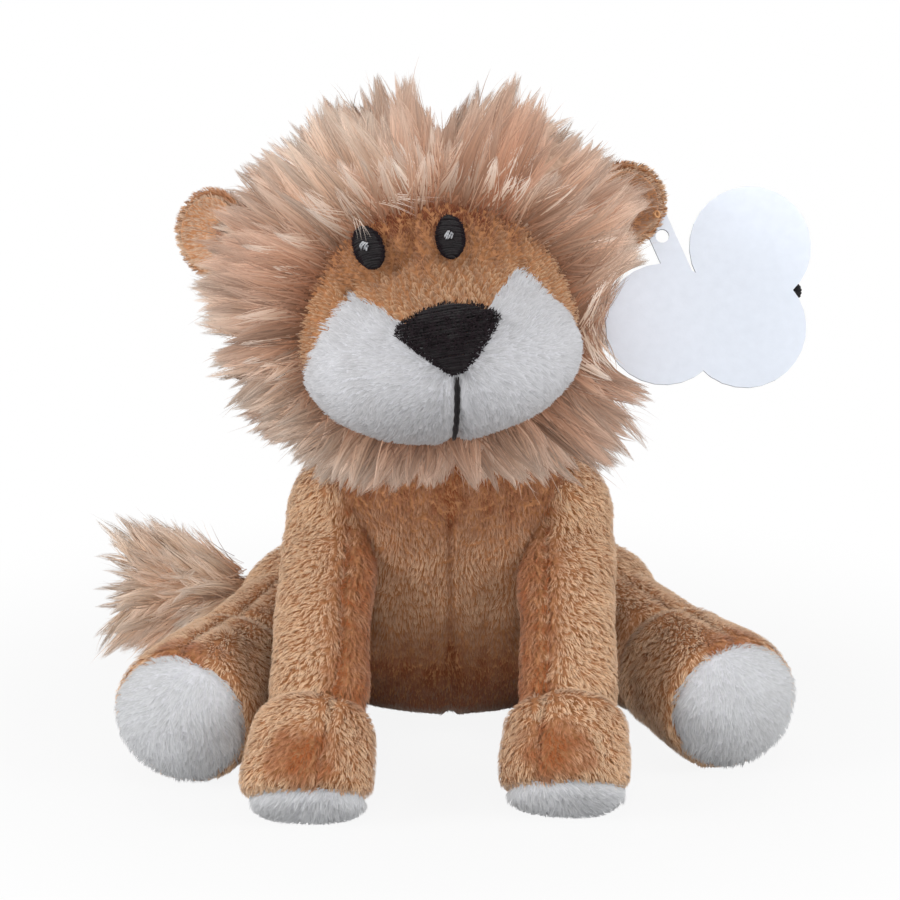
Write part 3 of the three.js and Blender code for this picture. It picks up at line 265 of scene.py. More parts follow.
# Floor and light
FLOOR_SIZE = 40000
FLOOR_WHITE_SHARE = 0.9            # of the floor's look that is plain white, so that its shadow stays faint
SHADOW_NEAR, SHADOW_FAR = 70, 180  # from the middle: where the floor starts to fade to white, and ends
LIGHT_TARGET = Vector((0, 0, 60))
LAMPS = (("left", (-850, -300, 450), 420, 7.2), ("right", (850, -300, 450), 420, 6.4),
         ("top", (0, -250, 950), 500, 1.8), ("front", (0, -950, 250), 400, 2.8),
         ("back", (0, 850, 600), 500, 2.2))    # names, places, sizes and watts
WORLD_LIGHT = (0.14, 0.14, 0.14, 1)

# The photograph's camera
CAMERA_PLACE, CAMERA_TARGET = (0, -611.3, 211.4), (0, 0, 59)
CAMERA_LENS, CAMERA_SENSOR, CAMERA_CLIP = 111.3, 36, (0.01, 20)


def unit(v):
    return v / np.maximum(np.linalg.norm(v, axis=-1, keepdims=True), 1e-12)


def read_shares(shares, at):
    """Values read along evenly spaced shares, with a smooth curve between them."""
    s = np.asarray(shares, float)
    scaled = np.clip(at, 0, 1) * (len(s) - 1)
    step = np.minimum(scaled.astype(int), len(s) - 2)
    t = scaled - step
    low, high = s[step], s[step + 1]
    slope_in = (high - s[np.maximum(step - 1, 0)]) / 2
    slope_out = (s[np.minimum(step + 2, len(s) - 1)] - low) / 2
    drift = high - low
    bend = 3 * drift - 2 * slope_in - slope_out + t * (slope_in + slope_out - 2 * drift)
    return low + t * (slope_in + t * bend)


def bluntness(t, share):
    """Rounds a form off over a share of its length at both ends."""
    from_end = np.minimum(1, np.minimum(t, 1 - t) / share)
    return np.sqrt(1 - (1 - from_end) ** 2)


class Path:
    """A centripetal curve through points, read by shares of its length."""

    def __init__(self, points):
        p = np.asarray(points, float)
        p = np.vstack([2 * p[0] - p[1], p, 2 * p[-1] - p[-2]])
        t = np.linspace(0, 1, PATH_STEPS, endpoint=False)[:, None]
        dense = []
        for i in range(len(p) - 3):
            x0, x1, x2, x3 = p[i:i + 4]
            d0, d1, d2 = (np.sqrt(np.linalg.norm(b - a)) for a, b in ((x0, x1), (x1, x2), (x2, x3)))
            m1 = ((x1 - x0) / d0 - (x2 - x0) / (d0 + d1) + (x2 - x1) / d1) * d1
            m2 = ((x2 - x1) / d1 - (x3 - x1) / (d1 + d2) + (x3 - x2) / d2) * d1
            dense.append(x1 + t * (m1 + t * (3 * (x2 - x1) - 2 * m1 - m2 + t * (2 * (x1 - x2) + m1 + m2))))
        self.points = np.vstack(dense + [p[-2]])
        steps = np.linalg.norm(np.diff(self.points, axis=0), axis=1)
        self.lengths = np.concatenate([[0], np.cumsum(steps)])
        self.length = self.lengths[-1]

    def at(self, share):
        along = np.asarray(share, float) * self.length
        return np.stack([np.interp(along, self.lengths, self.points[:, k]) for k in range(3)], -1)

    def tangent(self, share):
        share = np.asarray(share, float)
        ahead, behind = np.minimum(share + PATH_TANGENT_SHARE, 1), np.maximum(share - PATH_TANGENT_SHARE, 0)
        return unit(self.at(ahead) - self.at(behind))

    def frame(self, share):
        """The ways along, across and over the path at shares of its length."""
        tangent = self.tangent(share)
        across = unit(np.cross(tangent, UP))
        return tangent, across, np.cross(across, tangent)

    def share_of(self, points):
        """The share of the path's length nearest to each point."""
        shares = np.linspace(0, 1, PATH_MARKS)
        marks = self.at(shares)
        nearest = ((points[:, None, :] - marks[None]) ** 2).sum(-1).argmin(1)
        return shares[nearest]


def poled(rings, sides, point_at):
    """A closed surface with a pole at each end: its vertices and faces."""
    along, around = np.meshgrid(np.arange(1, rings) / rings, np.arange(sides) / sides, indexing="ij")
    body = point_at(along.ravel(), around.ravel())
    ends = point_at(np.array([0.0, 1.0]), np.array([0.0, 0.0]))
    verts = np.vstack([ends[:1], body, ends[1:]])
    at = lambda ring, side: 1 + (ring - 1) * sides + side % sides
    last = len(verts) - 1
    faces = []
    for side in range(sides):
        faces.append((0, at(1, side), at(1, side + 1)))
        faces.append((last, at(rings - 1, side + 1), at(rings - 1, side)))
        for ring in range(1, rings - 1):
            faces.append((at(ring, side), at(ring + 1, side), at(ring + 1, side + 1), at(ring, side + 1)))
    return verts, faces


def on_sphere(along, around):
    polar, turn = along * math.pi, around * TURN
    return np.stack([np.sin(polar) * np.cos(turn), np.sin(polar) * np.sin(turn), np.cos(polar)], -1)


def ball(centre, radius, fineness=BALL_FINENESS, width=None):
    size = np.array([radius if width is None else width / 2, radius, radius], float)
    return poled(fineness, 2 * fineness, lambda a, b: np.asarray(centre) + size * on_sphere(a, b))


def stuffed_tube(path, width, height, swell_shares, round_share=1):
    """A limb's form along a path, blunt at both ends."""
    blunt_share = round_share * height / 2 / path.length

    def point_at(along, around):
        t = (1 - np.cos(along * math.pi)) / 2
        _, across, over = path.frame(t)
        swell = (read_shares(swell_shares, t) * bluntness(t, blunt_share))[:, None]
        angle = (around * TURN)[:, None]
        sideways = across * np.cos(angle) * width / 2
        return path.at(t) + (sideways + over * np.sin(angle) * height / 2) * swell

    return poled(TUBE_RINGS, TUBE_SIDES, point_at)


def blender_mesh(name, verts, faces, smooth=False):
    mesh = bpy.data.meshes.new(name)
    mesh.from_pydata((np.asarray(verts) * METRE).tolist(), [], [tuple(f) for f in faces])
    mesh.validate()
    if smooth:
        mesh.polygons.foreach_set("use_smooth", [True] * len(mesh.polygons))
    return mesh


def scratch_object(verts, faces):
    made = bpy.data.objects.new("scratch", blender_mesh("scratch", verts, faces))
    bpy.context.scene.collection.objects.link(made)
    return made


def joined(parts):
    verts, faces, offset = [], [], 0
    for part_verts, part_faces in parts:
        verts.append(part_verts)
        faces += [tuple(i + offset for i in face) for face in part_faces]
        offset += len(part_verts)
    return np.vstack(verts), faces


def settled(parts, smoothing, hollows=()):
    """One closed skin round overlapping forms, with hollows cut out, remeshed evenly and smoothed."""
    skin = scratch_object(*joined(parts))
    tools = [scratch_object(*hollow) for hollow in hollows]

    def remesh():
        even = skin.modifiers.new("even", "REMESH")
        even.mode, even.voxel_size = "VOXEL", VOXEL * METRE

    remesh()
    for tool in tools:
        cut = skin.modifiers.new("cut", "BOOLEAN")
        cut.operation, cut.object, cut.solver = "DIFFERENCE", tool, "EXACT"
    if tools:
        remesh()
    smooth = skin.modifiers.new("smooth", "SMOOTH")
    smooth.factor, smooth.iterations = SMOOTHING, smoothing
    graph = bpy.context.evaluated_depsgraph_get()
    mesh = bpy.data.meshes.new_from_object(skin.evaluated_get(graph))
    verts = np.array([v.co for v in mesh.vertices]) / METRE
    faces = [tuple(p.vertices) for p in mesh.polygons]
    for used in [skin, *tools]:
        bpy.data.objects.remove(used)
    return largest(verts, faces)


def largest(verts, faces):
    """The skin without the closed bubbles that a remesh can leave inside."""
    owner = np.arange(len(verts))

    def root(i):
        while owner[i] != i:
            owner[i] = owner[owner[i]]
            i = owner[i]
        return i

    for face in faces:
        first = root(face[0])
        for i in face[1:]:
            owner[root(i)] = first
    roots = np.array([root(i) for i in range(len(verts))])
    main = np.bincount(roots).argmax()
    keep = roots == main
    if keep.all():
        return verts, faces
    index = np.cumsum(keep) - 1
    return verts[keep], [tuple(index[i] for i in face) for face in faces if keep[face[0]]]


def triangles_of(faces):
    made = []
    for face in faces:
        for i in range(1, len(face) - 1):
            made.append((face[0], face[i], face[i + 1]))
    return np.array(made)


def normals_of(verts, triangles):
    a, b, c = (verts[triangles[:, k]] for k in range(3))
    face_normals = np.cross(b - a, c - a)
    normals = np.zeros_like(verts)
    for k in range(3):
        np.add.at(normals, triangles[:, k], face_normals)
    return unit(normals)


class Skin:
    """A closed cloth surface: its vertices, faces, normals and the zone that each vertex is in."""

    def __init__(self, verts, faces, inset=SKIN_INSET):
        self.faces = faces
        self.triangles = triangles_of(faces)
        self.verts = verts
        self.zone = np.zeros(len(verts), int)
        self.normals = normals_of(verts, self.triangles)
        self.push(np.full(len(verts), -inset))

    def push(self, distance):
        """Moves each vertex along its normal."""
        self.verts = self.verts + self.normals * distance[:, None]
        self.normals = normals_of(self.verts, self.triangles)

    def groove(self, distance, depth, width):
        """A sewn seam where the distance is 0."""
        self.push(-depth * np.exp(-(distance / width) ** 2))

    def settle(self, lowest):
        """Lets the underside down on to the floor."""
        z = self.verts[:, 2]
        drop = (lowest - FLOOR_CLEARANCE) * np.exp(-np.maximum(z - lowest, 0) / FLATTEN_HEIGHT)
        self.verts[:, 2] = np.maximum(z - drop, FLOOR_CLEARANCE)
        self.normals = normals_of(self.verts, self.triangles)


def soft_noise(points, size, seed, octaves=2):
    """A smooth field from sums of waves, between about -1 and 1."""
    rng = np.random.default_rng(seed)
    value = np.zeros(len(points))
    for octave in range(octaves):
        for _ in range(NOISE_WAVES):
            direction = unit(rng.normal(size=3))
            phase = points @ direction * TURN / size * 2 ** octave + rng.uniform(0, TURN)
            value += np.sin(phase) / 2 ** octave
    return value / NOISE_WAVES


def sample(skin, per_area, rng, keep=None):
    """Random places on a skin: their points, normals and zones."""
    a, b, c = (skin.verts[skin.triangles[:, k]] for k in range(3))
    area = np.linalg.norm(np.cross(b - a, c - a), axis=1) / 2
    if keep is not None:
        area = np.where(keep[skin.triangles].all(1), area, 0)
    count = int(area.sum() * per_area)
    chosen = rng.choice(len(area), count, p=area / area.sum())
    u, v = rng.random(count), rng.random(count)
    flip = u + v > 1
    u[flip], v[flip] = 1 - u[flip], 1 - v[flip]
    shares = np.stack([1 - u - v, u, v], -1)
    corners = skin.triangles[chosen]
    points = (skin.verts[corners] * shares[..., None]).sum(1)
    normals = unit((skin.normals[corners] * shares[..., None]).sum(1))
    return points, normals, skin.zone[corners[np.arange(count), shares.argmax(1)]]


def ribbons(name, lines, widths, facing, tint):
    """A mesh of tapering ribbons, each shaded as the way that it faces.

    Lines is strands by points by 3. Tint is strands by 2: each strand's tone, and the patch that it stands in,
    which for some pieces is painted shade."""
    side = unit(np.cross(lines[:, -1] - lines[:, 0], facing))
    count, steps, _ = lines.shape
    share = np.linspace(0, 1, steps)
    taper = widths[:, None] / 2 * (1 - share[None, :] ** 2)
    sideways = side[:, None, :] * taper[..., None]
    left, right = lines[:, :-1] - sideways[:, :-1], lines[:, :-1] + sideways[:, :-1]
    verts = np.concatenate([np.stack([left, right], 2).reshape(count, -1, 3), lines[:, -1:]], 1)
    per_strand = 2 * (steps - 1) + 1
    verts = verts.reshape(-1, 3)
    verts[:, 2] = np.maximum(verts[:, 2], FLOOR_CLEARANCE / 2)
    quads = np.array([(2 * k, 2 * k + 1, 2 * k + 3, 2 * k + 2) for k in range(steps - 2)]).reshape(-1, 4)
    tip = np.array([(2 * (steps - 2), 2 * (steps - 2) + 1, 2 * (steps - 1))])
    base = (np.arange(count) * per_strand)[:, None, None]
    loops = np.concatenate([(base + quads).reshape(count, -1), (base + tip).reshape(count, -1)], 1).ravel()
    sizes = np.tile([4] * len(quads) + [3], count)
    mesh = bpy.data.meshes.new(name)
    mesh.vertices.add(len(verts))
    mesh.vertices.foreach_set("co", (verts * METRE).astype(np.float32).ravel())
    mesh.loops.add(len(loops))
    mesh.loops.foreach_set("vertex_index", loops.astype(np.int32))
    mesh.polygons.add(len(sizes))
    starts = np.concatenate([[0], np.cumsum(sizes)[:-1]])
    mesh.polygons.foreach_set("loop_start", starts.astype(np.int32))
    mesh.update(calc_edges=True)
    along = np.concatenate([np.repeat(share[:-1], 2), [1]])
    colours = np.ones((count, per_strand, 4), np.float32)
    colours[..., 0] = tint[:, None, 0]
    colours[..., 1] = along[None]
    colours[..., 2] = tint[:, None, 1]
    layer = mesh.color_attributes.new("tint", "FLOAT_COLOR", "POINT")
    layer.data.foreach_set("color", colours.reshape(-1))
    shading = mesh.attributes.new("custom_normal", "FLOAT_VECTOR", "POINT")
    shading.data.foreach_set("vector", np.repeat(facing, per_strand, axis=0).astype(np.float32).ravel())
    mesh.polygons.foreach_set("use_smooth", [True] * len(mesh.polygons))
    cells = int(math.ceil(math.sqrt(count)))
    column, row = np.arange(count) % cells, np.arange(count) // cells
    u = np.concatenate([np.tile(CELL_SIDES, steps - 1), [0.5]])
    uv = np.empty((count, per_strand, 2), np.float32)
    uv[..., 0] = (column[:, None] + u[None]) / cells
    uv[..., 1] = (row[:, None] + CELL_START + CELL_LENGTH * along[None]) / cells
    bake = mesh.uv_layers.new(name="OFBake")
    bake.data.foreach_set("uv", uv.reshape(-1, 2)[loops].ravel())
    return mesh


def tangential(direction, normals):
    return unit(direction - (direction * normals).sum(1, keepdims=True) * normals)


def clumped(roots, tips, size, pull, seed):
    """Draws the tips of strands in the same small cell towards each other."""
    rng = np.random.default_rng(seed)
    size = np.broadcast_to(size, 3)
    jitter = np.stack([soft_noise(roots, size.max() * 3, seed + k, 1) for k in range(3)], -1) * size
    cell = np.floor((roots + jitter) / size + rng.random(3)).astype(np.int64)
    _, index = np.unique(cell, axis=0, return_inverse=True)
    index = index.ravel()
    count = np.bincount(index)[:, None]
    middle = np.stack([np.bincount(index, tips[:, k]) for k in range(3)], -1) / count
    return tips + (middle[index] - tips) * pull


def pile(name, skin, nap, body, material, zone=None, keep=None, seed=1, slot="tan_plush", shaded=None,
         length=PILE_LENGTH, width=PILE_WIDTH, lift=PILE_LIFT, clump=PILE_CLUMP, pull=PILE_PULL):
    """Short pile on a skin, laid along the nap; shaded gives how dark the pile is at each root, 0 to 1, mostly
    as painted shade.
    """
    rng = np.random.default_rng(seed)
    roots, normals, zones = sample(skin, PILE_PER_AREA, rng, keep)
    if zone is not None:
        chosen = zones == zone
        roots, normals = roots[chosen], normals[chosen]
    count = len(roots)
    lay = tangential(nap(roots), normals)
    drift = soft_noise(roots, PILE_DRIFT_SIZE, seed + 7) * PILE_DRIFT + rng.normal(0, PILE_STRAY, count)
    swirl = np.radians(drift)[:, None]
    lay = lay * np.cos(swirl) + np.cross(normals, lay) * np.sin(swirl)
    rise = np.radians(rng.uniform(*lift, count))[:, None]
    swell = 1 + PILE_SWELL_SHARE * soft_noise(roots, PILE_SWELL_SIZE, seed + 9)
    size = (length * rng.uniform(*PILE_LENGTH_SHARES, count) * swell)[:, None]
    tips = clumped(roots, roots + (lay * np.cos(rise) + normals * np.sin(rise)) * size, clump, pull, seed)
    middle = roots + (tips - roots) * 0.5 + normals * size * PILE_ARCH_SHARE
    lines = np.stack([roots - normals * PILE_ROOT_DEPTH, middle, tips], 1)
    facing = unit(normals + rng.normal(0, FACING_SPREAD, (count, 3)))
    if shaded is None:
        usual, large, small = PATCH_SHARES
        patch = usual + large * soft_noise(roots, PATCH_SIZES[0], seed + 11)
        patch = patch + small * soft_noise(roots, PATCH_SIZES[1], seed + 13)
    else:
        # painted shade, as the piece's shaded function gives it, with a little drift
        patch = shaded(roots) + SHADE_DRIFT_SHARE * soft_noise(roots, SHADE_DRIFT_SIZE, seed + 15)
    widths = width * rng.uniform(*PILE_WIDTH_SHARES, count)
    mesh = ribbons(name, lines, widths, facing, np.stack([rng.random(count), patch], -1))
    made = show(name, mesh, body, material, slot)
    made.visible_shadow = material in SHADOWED_PILES
    return made


def show(name, mesh, body, material, slot):
    made = bpy.data.objects.new(name, mesh)
    bpy.context.scene.collection.objects.link(made)
    made.data.materials.append(material)
    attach(made, body)
    return made


def skin_piece(name, skin, body, material, slot, zone=None, replaces=()):
    """The part of a skin in one zone, as a piece of its own."""
    if zone is None:
        verts, faces = skin.verts, skin.faces
    else:
        votes = [sum(skin.zone[i] == zone for i in face) * 2 >= len(face) for face in skin.faces]
        kept = [face for face, vote in zip(skin.faces, votes) if vote]
        used = sorted({i for face in kept for i in face})
        index = {old: new for new, old in enumerate(used)}
        verts, faces = skin.verts[used], [tuple(index[i] for i in face) for face in kept]
    piece = show(name, blender_mesh(name, verts, faces, smooth=True), body, material, slot)
    if replaces:
        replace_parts(piece, *replaces)
    return piece


# Materials
def linear(code):
    values = [int(code[i:i + 2], 16) / 255 for i in (0, 2, 4)]
    return [v / 12.92 if v <= 0.04045 else ((v + 0.055) / 1.055) ** 2.4 for v in values] + [1]


def node_material(name, roughness=0.95, sheen=0.0, sheen_tint="ffffff"):
    material = bpy.data.materials.new(name)
    material.use_nodes = True
    shader = material.node_tree.nodes["Principled BSDF"]
    shader.inputs["Roughness"].default_value = roughness
    shader.inputs["Sheen Weight"].default_value = sheen
    shader.inputs["Sheen Tint"].default_value = linear(sheen_tint)
    shader.inputs["Specular IOR Level"].default_value = 0.25
    return material, material.node_tree, shader


def node(tree, kind, output=0, properties=(), **inputs):
    """Adds a node, sets its properties and its sockets or links them, and gives one of its outputs."""
    made = tree.nodes.new(kind)
    for key, value in properties:
        setattr(made, key, value)
    for key, value in inputs.items():
        socket = made.inputs[int(key[1:]) if key[1:].isdigit() else key.replace("_", " ")]
        if isinstance(value, bpy.types.NodeSocket):
            tree.links.new(value, socket)
        else:
            socket.default_value = value
    return made.outputs[output]


def ramp(tree, source, stops):
    made = tree.nodes.new("ShaderNodeValToRGB")
    while len(made.color_ramp.elements) < len(stops):
        made.color_ramp.elements.new(0.5)
    for element, (place, code) in zip(made.color_ramp.elements, stops):
        element.position = place
        element.color = linear(code)
    tree.links.new(source, made.inputs["Fac"])
    return made.outputs["Color"]


def mixed(tree, blend, share, a, b):
    properties = ("data_type", "RGBA"), ("blend_type", blend)
    return node(tree, "ShaderNodeMix", 2, properties, s0=share, s6=a, s7=b)


def noise(tree, scale, detail):
    place = node(tree, "ShaderNodeTexCoord", "Object")
    return node(tree, "ShaderNodeTexNoise", "Fac", Scale=scale, Detail=detail, Vector=place)


def mottled(tree, shader, colours, relief):
    """Two colours mottled by noise on a fine relief; the noise is given as scale and detail."""
    scale, detail, stops = colours
    tree.links.new(ramp(tree, noise(tree, scale, detail), stops), shader.inputs["Base Color"])
    if relief:
        bump(tree, shader, *relief)


def bump(tree, shader, scale, detail, strength, height):
    """A relief of noise, its height in millimetres."""
    relief = node(tree, "ShaderNodeBump", "Normal", Strength=strength, Distance=height * METRE,
                  Height=noise(tree, scale, detail))
    tree.links.new(relief, shader.inputs["Normal"])


def backing_material(name, dark, light):
    """The cloth under the pile: mottled, with a fine woolly relief."""
    material, tree, shader = node_material(name)
    mottled(tree, shader, (900, 3, [(0.35, dark), (0.65, light)]), (1400, 2, 0.6, 0.5))
    return material


def thread_material(name, dark, light):
    material, tree, shader = node_material(name, 0.8, 0.05)
    mottled(tree, shader, (1600, 2, [(0.3, dark), (0.7, light)]), (2600, 2, 0.4, 0.2))
    return material


def pile_material(name, root, middle, tip, shade, sheen, sheen_tint="ffffff", dullest="eaeaea"):
    """Strands that run from a darker root to a lighter tip, each a little different, in soft patches, which
    carry painted shade where a piece's pile is shaded.
    """
    material, tree, shader = node_material(name, 0.85, sheen, sheen_tint)
    tint = tree.nodes.new("ShaderNodeAttribute")
    tint.attribute_name = "tint"
    parts = tree.nodes.new("ShaderNodeSeparateColor")
    tree.links.new(tint.outputs["Color"], parts.inputs["Color"])
    along = ramp(tree, parts.outputs["Green"], [(0, root), (0.5, middle), (1, tip)])
    patch = ramp(tree, parts.outputs["Blue"], [(0.25, "ffffff"), (0.9, shade)])
    varied = ramp(tree, parts.outputs["Red"], [(0, dullest), (1, "ffffff")])
    colour = mixed(tree, "MULTIPLY", 1.0, mixed(tree, "MULTIPLY", 1.0, along, patch), varied)
    tree.links.new(colour, shader.inputs["Base Color"])
    return material


TAN_BACKING = backing_material("tan_backing", "96643f", "b07c56")
WHITE_BACKING = backing_material("white_backing", "bcbcc0", "ccccd0")
LINING_BACKING = backing_material("lining_backing", "b07c56", "c8946c")
MANE_BACKING = backing_material("mane_backing", "a08470", "b89c88")
TAN_PILE = pile_material("tan_pile", "c09068", "e2b68e", "f4dabc", "c08458", 0.4, "fff0e0", "e0e0e0")
# A darker copy of the tan pile for the torso: painted shade under the head and between the legs.
CHEST_PILE = pile_material("chest_pile", "aa7a58", "cc9f7c", "e0c0a0", "a8744e", 0.4, "fff0e0", "e0e0e0")
# A darker copy of the tan pile for the head: painted shade under the mane.
FACE_PILE = pile_material("face_pile", "a0704c", "c0926a", "dcb896", "9c6645", 0.4, "fff0e0", "dadada")
WHITE_PILE = pile_material("white_pile", "bcbdbf", "c8c9cb", "d5d6d8", "f0efee", 0.1)
# A slightly darker copy of the white pile for the muzzle, offsetting the stronger light on it: painted shade.
MUZZLE_PILE = pile_material("muzzle_pile", "b8b8bb", "c4c4c7", "d1d1d4", "f0efee", 0.1)
LINING_PILE = pile_material("lining_pile", "ac8468", "ccaa8e", "e2cab2", "8c4c2c", 0.3, "ffead4", "e0e0e0")
MANE_HAIR = pile_material("mane_hair", "9c6c4e", "d0ae96", "eedaca", "e4cabc", 0.3, "fff2e4", "a4a4a4")
# A paler copy of the mane's hair: painted highlight on the locks that stand up at its front edge and on the
# hairs over the brow.
MANE_HIGHLIGHT_HAIR = pile_material("mane_highlight_hair", "b89880", "dec6b4", "f4e8de", "e6d6cc", 0.3, "fff2e4",
                                "c8c8c8")
# A lighter copy of the mane's hair for the tail's tuft: painted light, where the tuft sits in shade behind the
# hind leg.
TUFT_HAIR = pile_material("tuft_hair", "b88c6c", "e2c8b0", "f8ece0", "ecd2c2", 0.3, "fff2e4", "c0c0c0")
BLACK_PILE = pile_material("black_pile", "0c0609", "170c12", "24151c", "e6dce2", 0.02)
SHADOWED_PILES = (TAN_PILE, CHEST_PILE, FACE_PILE)   # light passes through the others, their cloth stops it
BLACK_THREAD = thread_material("black_thread", "0b090b", "1b1618")
LIGHT_THREAD = thread_material("light_thread", "808287", "bfc1c4")
TAN_THREAD = thread_material("tan_thread", "a8744a", "d8a678")
BLACK, LIGHT = (BLACK_THREAD, "black_thread"), (LIGHT_THREAD, "light_thread")   # each with its slot


# Torso
neck_point = np.array([0, -TORSO_LEAN, NECK_HEIGHT], float)
shoulders = {side: np.array([sign * SHOULDER_SPREAD, -SHOULDER_FORWARD, SHOULDER_HEIGHT])
             for side, sign in SIDES}
hips = {side: np.array([sign * HIP_SPREAD, HIP_BACK, HIP_RADIUS - FLOOR_SINK]) for side, sign in SIDES}
tail_root = np.array([-TAIL_ROOT_ASIDE, TAIL_ROOT_BACK, TAIL_HEIGHT], float)
turning_balls = [(hips[side], HIP_RADIUS) for side, _ in SIDES] + [(tail_root, TAIL_ROOT_WIDTH / 2)]


def torso_bag():
    def point_at(along, around):
        t = (1 - np.cos(along * math.pi)) / 2
        angle, full = around * TURN, bluntness(t, TORSO_BLUNT_SHARE)
        x = np.cos(angle) * TORSO_WIDTH / 2 * read_shares(TORSO_WIDTH_SHARES, t) * full
        y = np.sin(angle) * TORSO_DEPTH / 2 * read_shares(TORSO_DEPTH_SHARES, t) * full
        z = (TORSO_HEIGHT + FLOOR_SINK) * t - FLOOR_SINK
        return np.stack([x, y - TORSO_LEAN * read_shares(TORSO_LEAN_SHARES, t), z], -1)

    return poled(TORSO_RINGS, TORSO_SIDES, point_at)


def outside_balls(skin):
    keep = np.ones(len(skin.verts), bool)
    for centre, radius in turning_balls:
        keep &= np.linalg.norm(skin.verts - centre, axis=1) > radius + HOLLOW_EDGE
    return keep


def torso_painted_shade(points):
    """Painted shade: dark at the chest under the head and under the belly, pale between them, with a dark line
    of painted shade in the middle seam's furrow.
    """
    level = points[:, 2] / TORSO_HEIGHT
    seam = np.exp(-(points[:, 0] / GROOVE_WIDTH) ** 2) * (points[:, 1] < 0)
    return np.interp(level, TORSO_SHADE_AT_SHARES, TORSO_SHADE_SHARES) + SEAM_SHADE_SHARE * seam


hollows = [ball(centre, radius + SEAM_GAP) for centre, radius in turning_balls]
yokes = [ball(neck_point + [sign * YOKE_SPREAD, -YOKE_FORWARD, YOKE_RISE], YOKE_RADIUS) for _, sign in SIDES]
torso_forms = [torso_bag(), ball(neck_point, CHEST_RADIUS), *yokes]
torso = Skin(*settled(torso_forms, TORSO_SMOOTHING, hollows))
torso.settle(SKIN_INSET - FLOOR_SINK)
for centre, radius in turning_balls:
    from_ball = np.maximum(np.linalg.norm(torso.verts - centre, axis=1) - radius - SEAM_GAP, 0)
    torso.push(SKIN_INSET * np.exp(-(from_ball / HOLLOW_RIM) ** 2))
on_front = (torso.normals[:, 1] < -SEAM_FRONT_SHARE) & (torso.verts[:, 2] < NECK_HEIGHT)
torso.groove(np.where(on_front, torso.verts[:, 0], GROOVE_WIDTH * NO_GROOVE), SEAM_DEPTH, SEAM_WIDTH)
torso.push(UNEVENNESS * soft_noise(torso.verts, TORSO_LUMP, 3))
skin_piece("torso_plush", torso, "torso", TAN_BACKING, "tan_plush", replaces=("torso_cover", "torso_filling"))
hang = lambda points: np.tile([0, -TORSO_HANG_SHARE, -1], (len(points), 1))
pile("torso_pile", torso, hang, "torso", CHEST_PILE, keep=outside_balls(torso), seed=11, shaded=torso_painted_shade,
     length=TORSO_LENGTH, clump=TORSO_CLUMP)

# Head
yaw = Matrix.Rotation(math.radians(HEAD_YAW), 3, "Z")
turn = np.array(yaw @ Matrix.Rotation(math.radians(-HEAD_ROLL), 3, "Y"))
head_middle = neck_point + turn @ np.array([0, -HEAD_BEFORE_NECK, HEAD_ABOVE_NECK])
head_lobes = [
    (np.zeros(3), np.array([HEAD_WIDTH, HEAD_DEPTH, HEAD_HEIGHT]) / 2),
    (np.array([0, -MUZZLE_FORWARD, -MUZZLE_DROP]), np.array([MUZZLE_WIDTH, MUZZLE_DEPTH, MUZZLE_HEIGHT]) / 2),
]
to_world = lambda points: points @ turn.T + head_middle
to_head = lambda points: (points - head_middle) @ turn


def head_fill(points):
    """More than 1 inside the head, where its two rounded lobes flow into each other."""
    from_lobes = (np.linalg.norm((points - middle) / radii, axis=-1) for middle, radii in head_lobes)
    return sum(np.exp(LOBE_SHARPNESS * (1 - away)) for away in from_lobes)


def reach_along(starts, directions):
    """How far the head's surface is from each start along its direction, in the head's frame."""
    near = np.zeros(len(directions))
    far = np.full(len(directions), float(HEAD_WIDTH + MUZZLE_DEPTH))
    for _ in range(HALVINGS):
        middle = (near + far) / 2
        inside = head_fill(starts + directions * middle[:, None]) > 1
        near, far = np.where(inside, middle, near), np.where(inside, far, middle)
    return near


def face_point(across, rise, lift=0.0):
    """The point of the face at a place across and up, as the face is seen from its front."""
    across, rise = np.asarray(across, float), np.asarray(rise, float)
    starts = np.stack([across, np.zeros_like(across), rise], -1)
    forward = np.tile([0.0, -1.0, 0.0], (len(across), 1))
    points = starts + forward * reach_along(starts, forward)[:, None]
    steps = np.eye(3) * SLOPE_STEP
    slope = np.stack([head_fill(points + step) - head_fill(points - step) for step in steps], -1)
    return points - unit(slope) * lift


def head_form():
    def point_at(along, around):
        directions = on_sphere(along, around)
        return to_world(directions * reach_along(np.zeros_like(directions), directions)[:, None])

    return poled(HEAD_RINGS, HEAD_SIDES, point_at)


def panel(sign):
    return [(-sign * a * MUZZLE_WIDTH / 2, r * MUZZLE_HEIGHT - MUZZLE_DROP) for a, r in PANEL_SHARES]


def inside_outline(outline, points):
    """Which points lie in a closed outline, and how far each is from its edge."""
    x, y = points[:, 0], points[:, 1]
    inside = np.zeros(len(points), bool)
    nearest = np.full(len(points), np.inf)
    for (ax, ay), (bx, by) in zip(outline, outline[1:] + outline[:1]):
        crosses = (ay > y) != (by > y)
        with np.errstate(divide="ignore", invalid="ignore"):
            edge_x = ax + (y - ay) * (bx - ax) / (by - ay)
        inside ^= crosses & (x < edge_x)
        along = (x - ax) * (bx - ax) + (y - ay) * (by - ay)
        share = np.clip(along / ((bx - ax) ** 2 + (by - ay) ** 2), 0, 1)
        nearest = np.minimum(nearest, np.hypot(x - ax - share * (bx - ax), y - ay - share * (by - ay)))
    return inside, nearest


def from_line(points, line):
    """How far points are from an open line, both given across and up."""
    nearest = np.full(len(points), np.inf)
    for start, end in zip(np.array(line[:-1], float), np.array(line[1:], float)):
        step = end - start
        share = np.clip((points - start) @ step / (step @ step), 0, 1)
        nearest = np.minimum(nearest, np.linalg.norm(points - start - share[:, None] * step, axis=1))
    return nearest


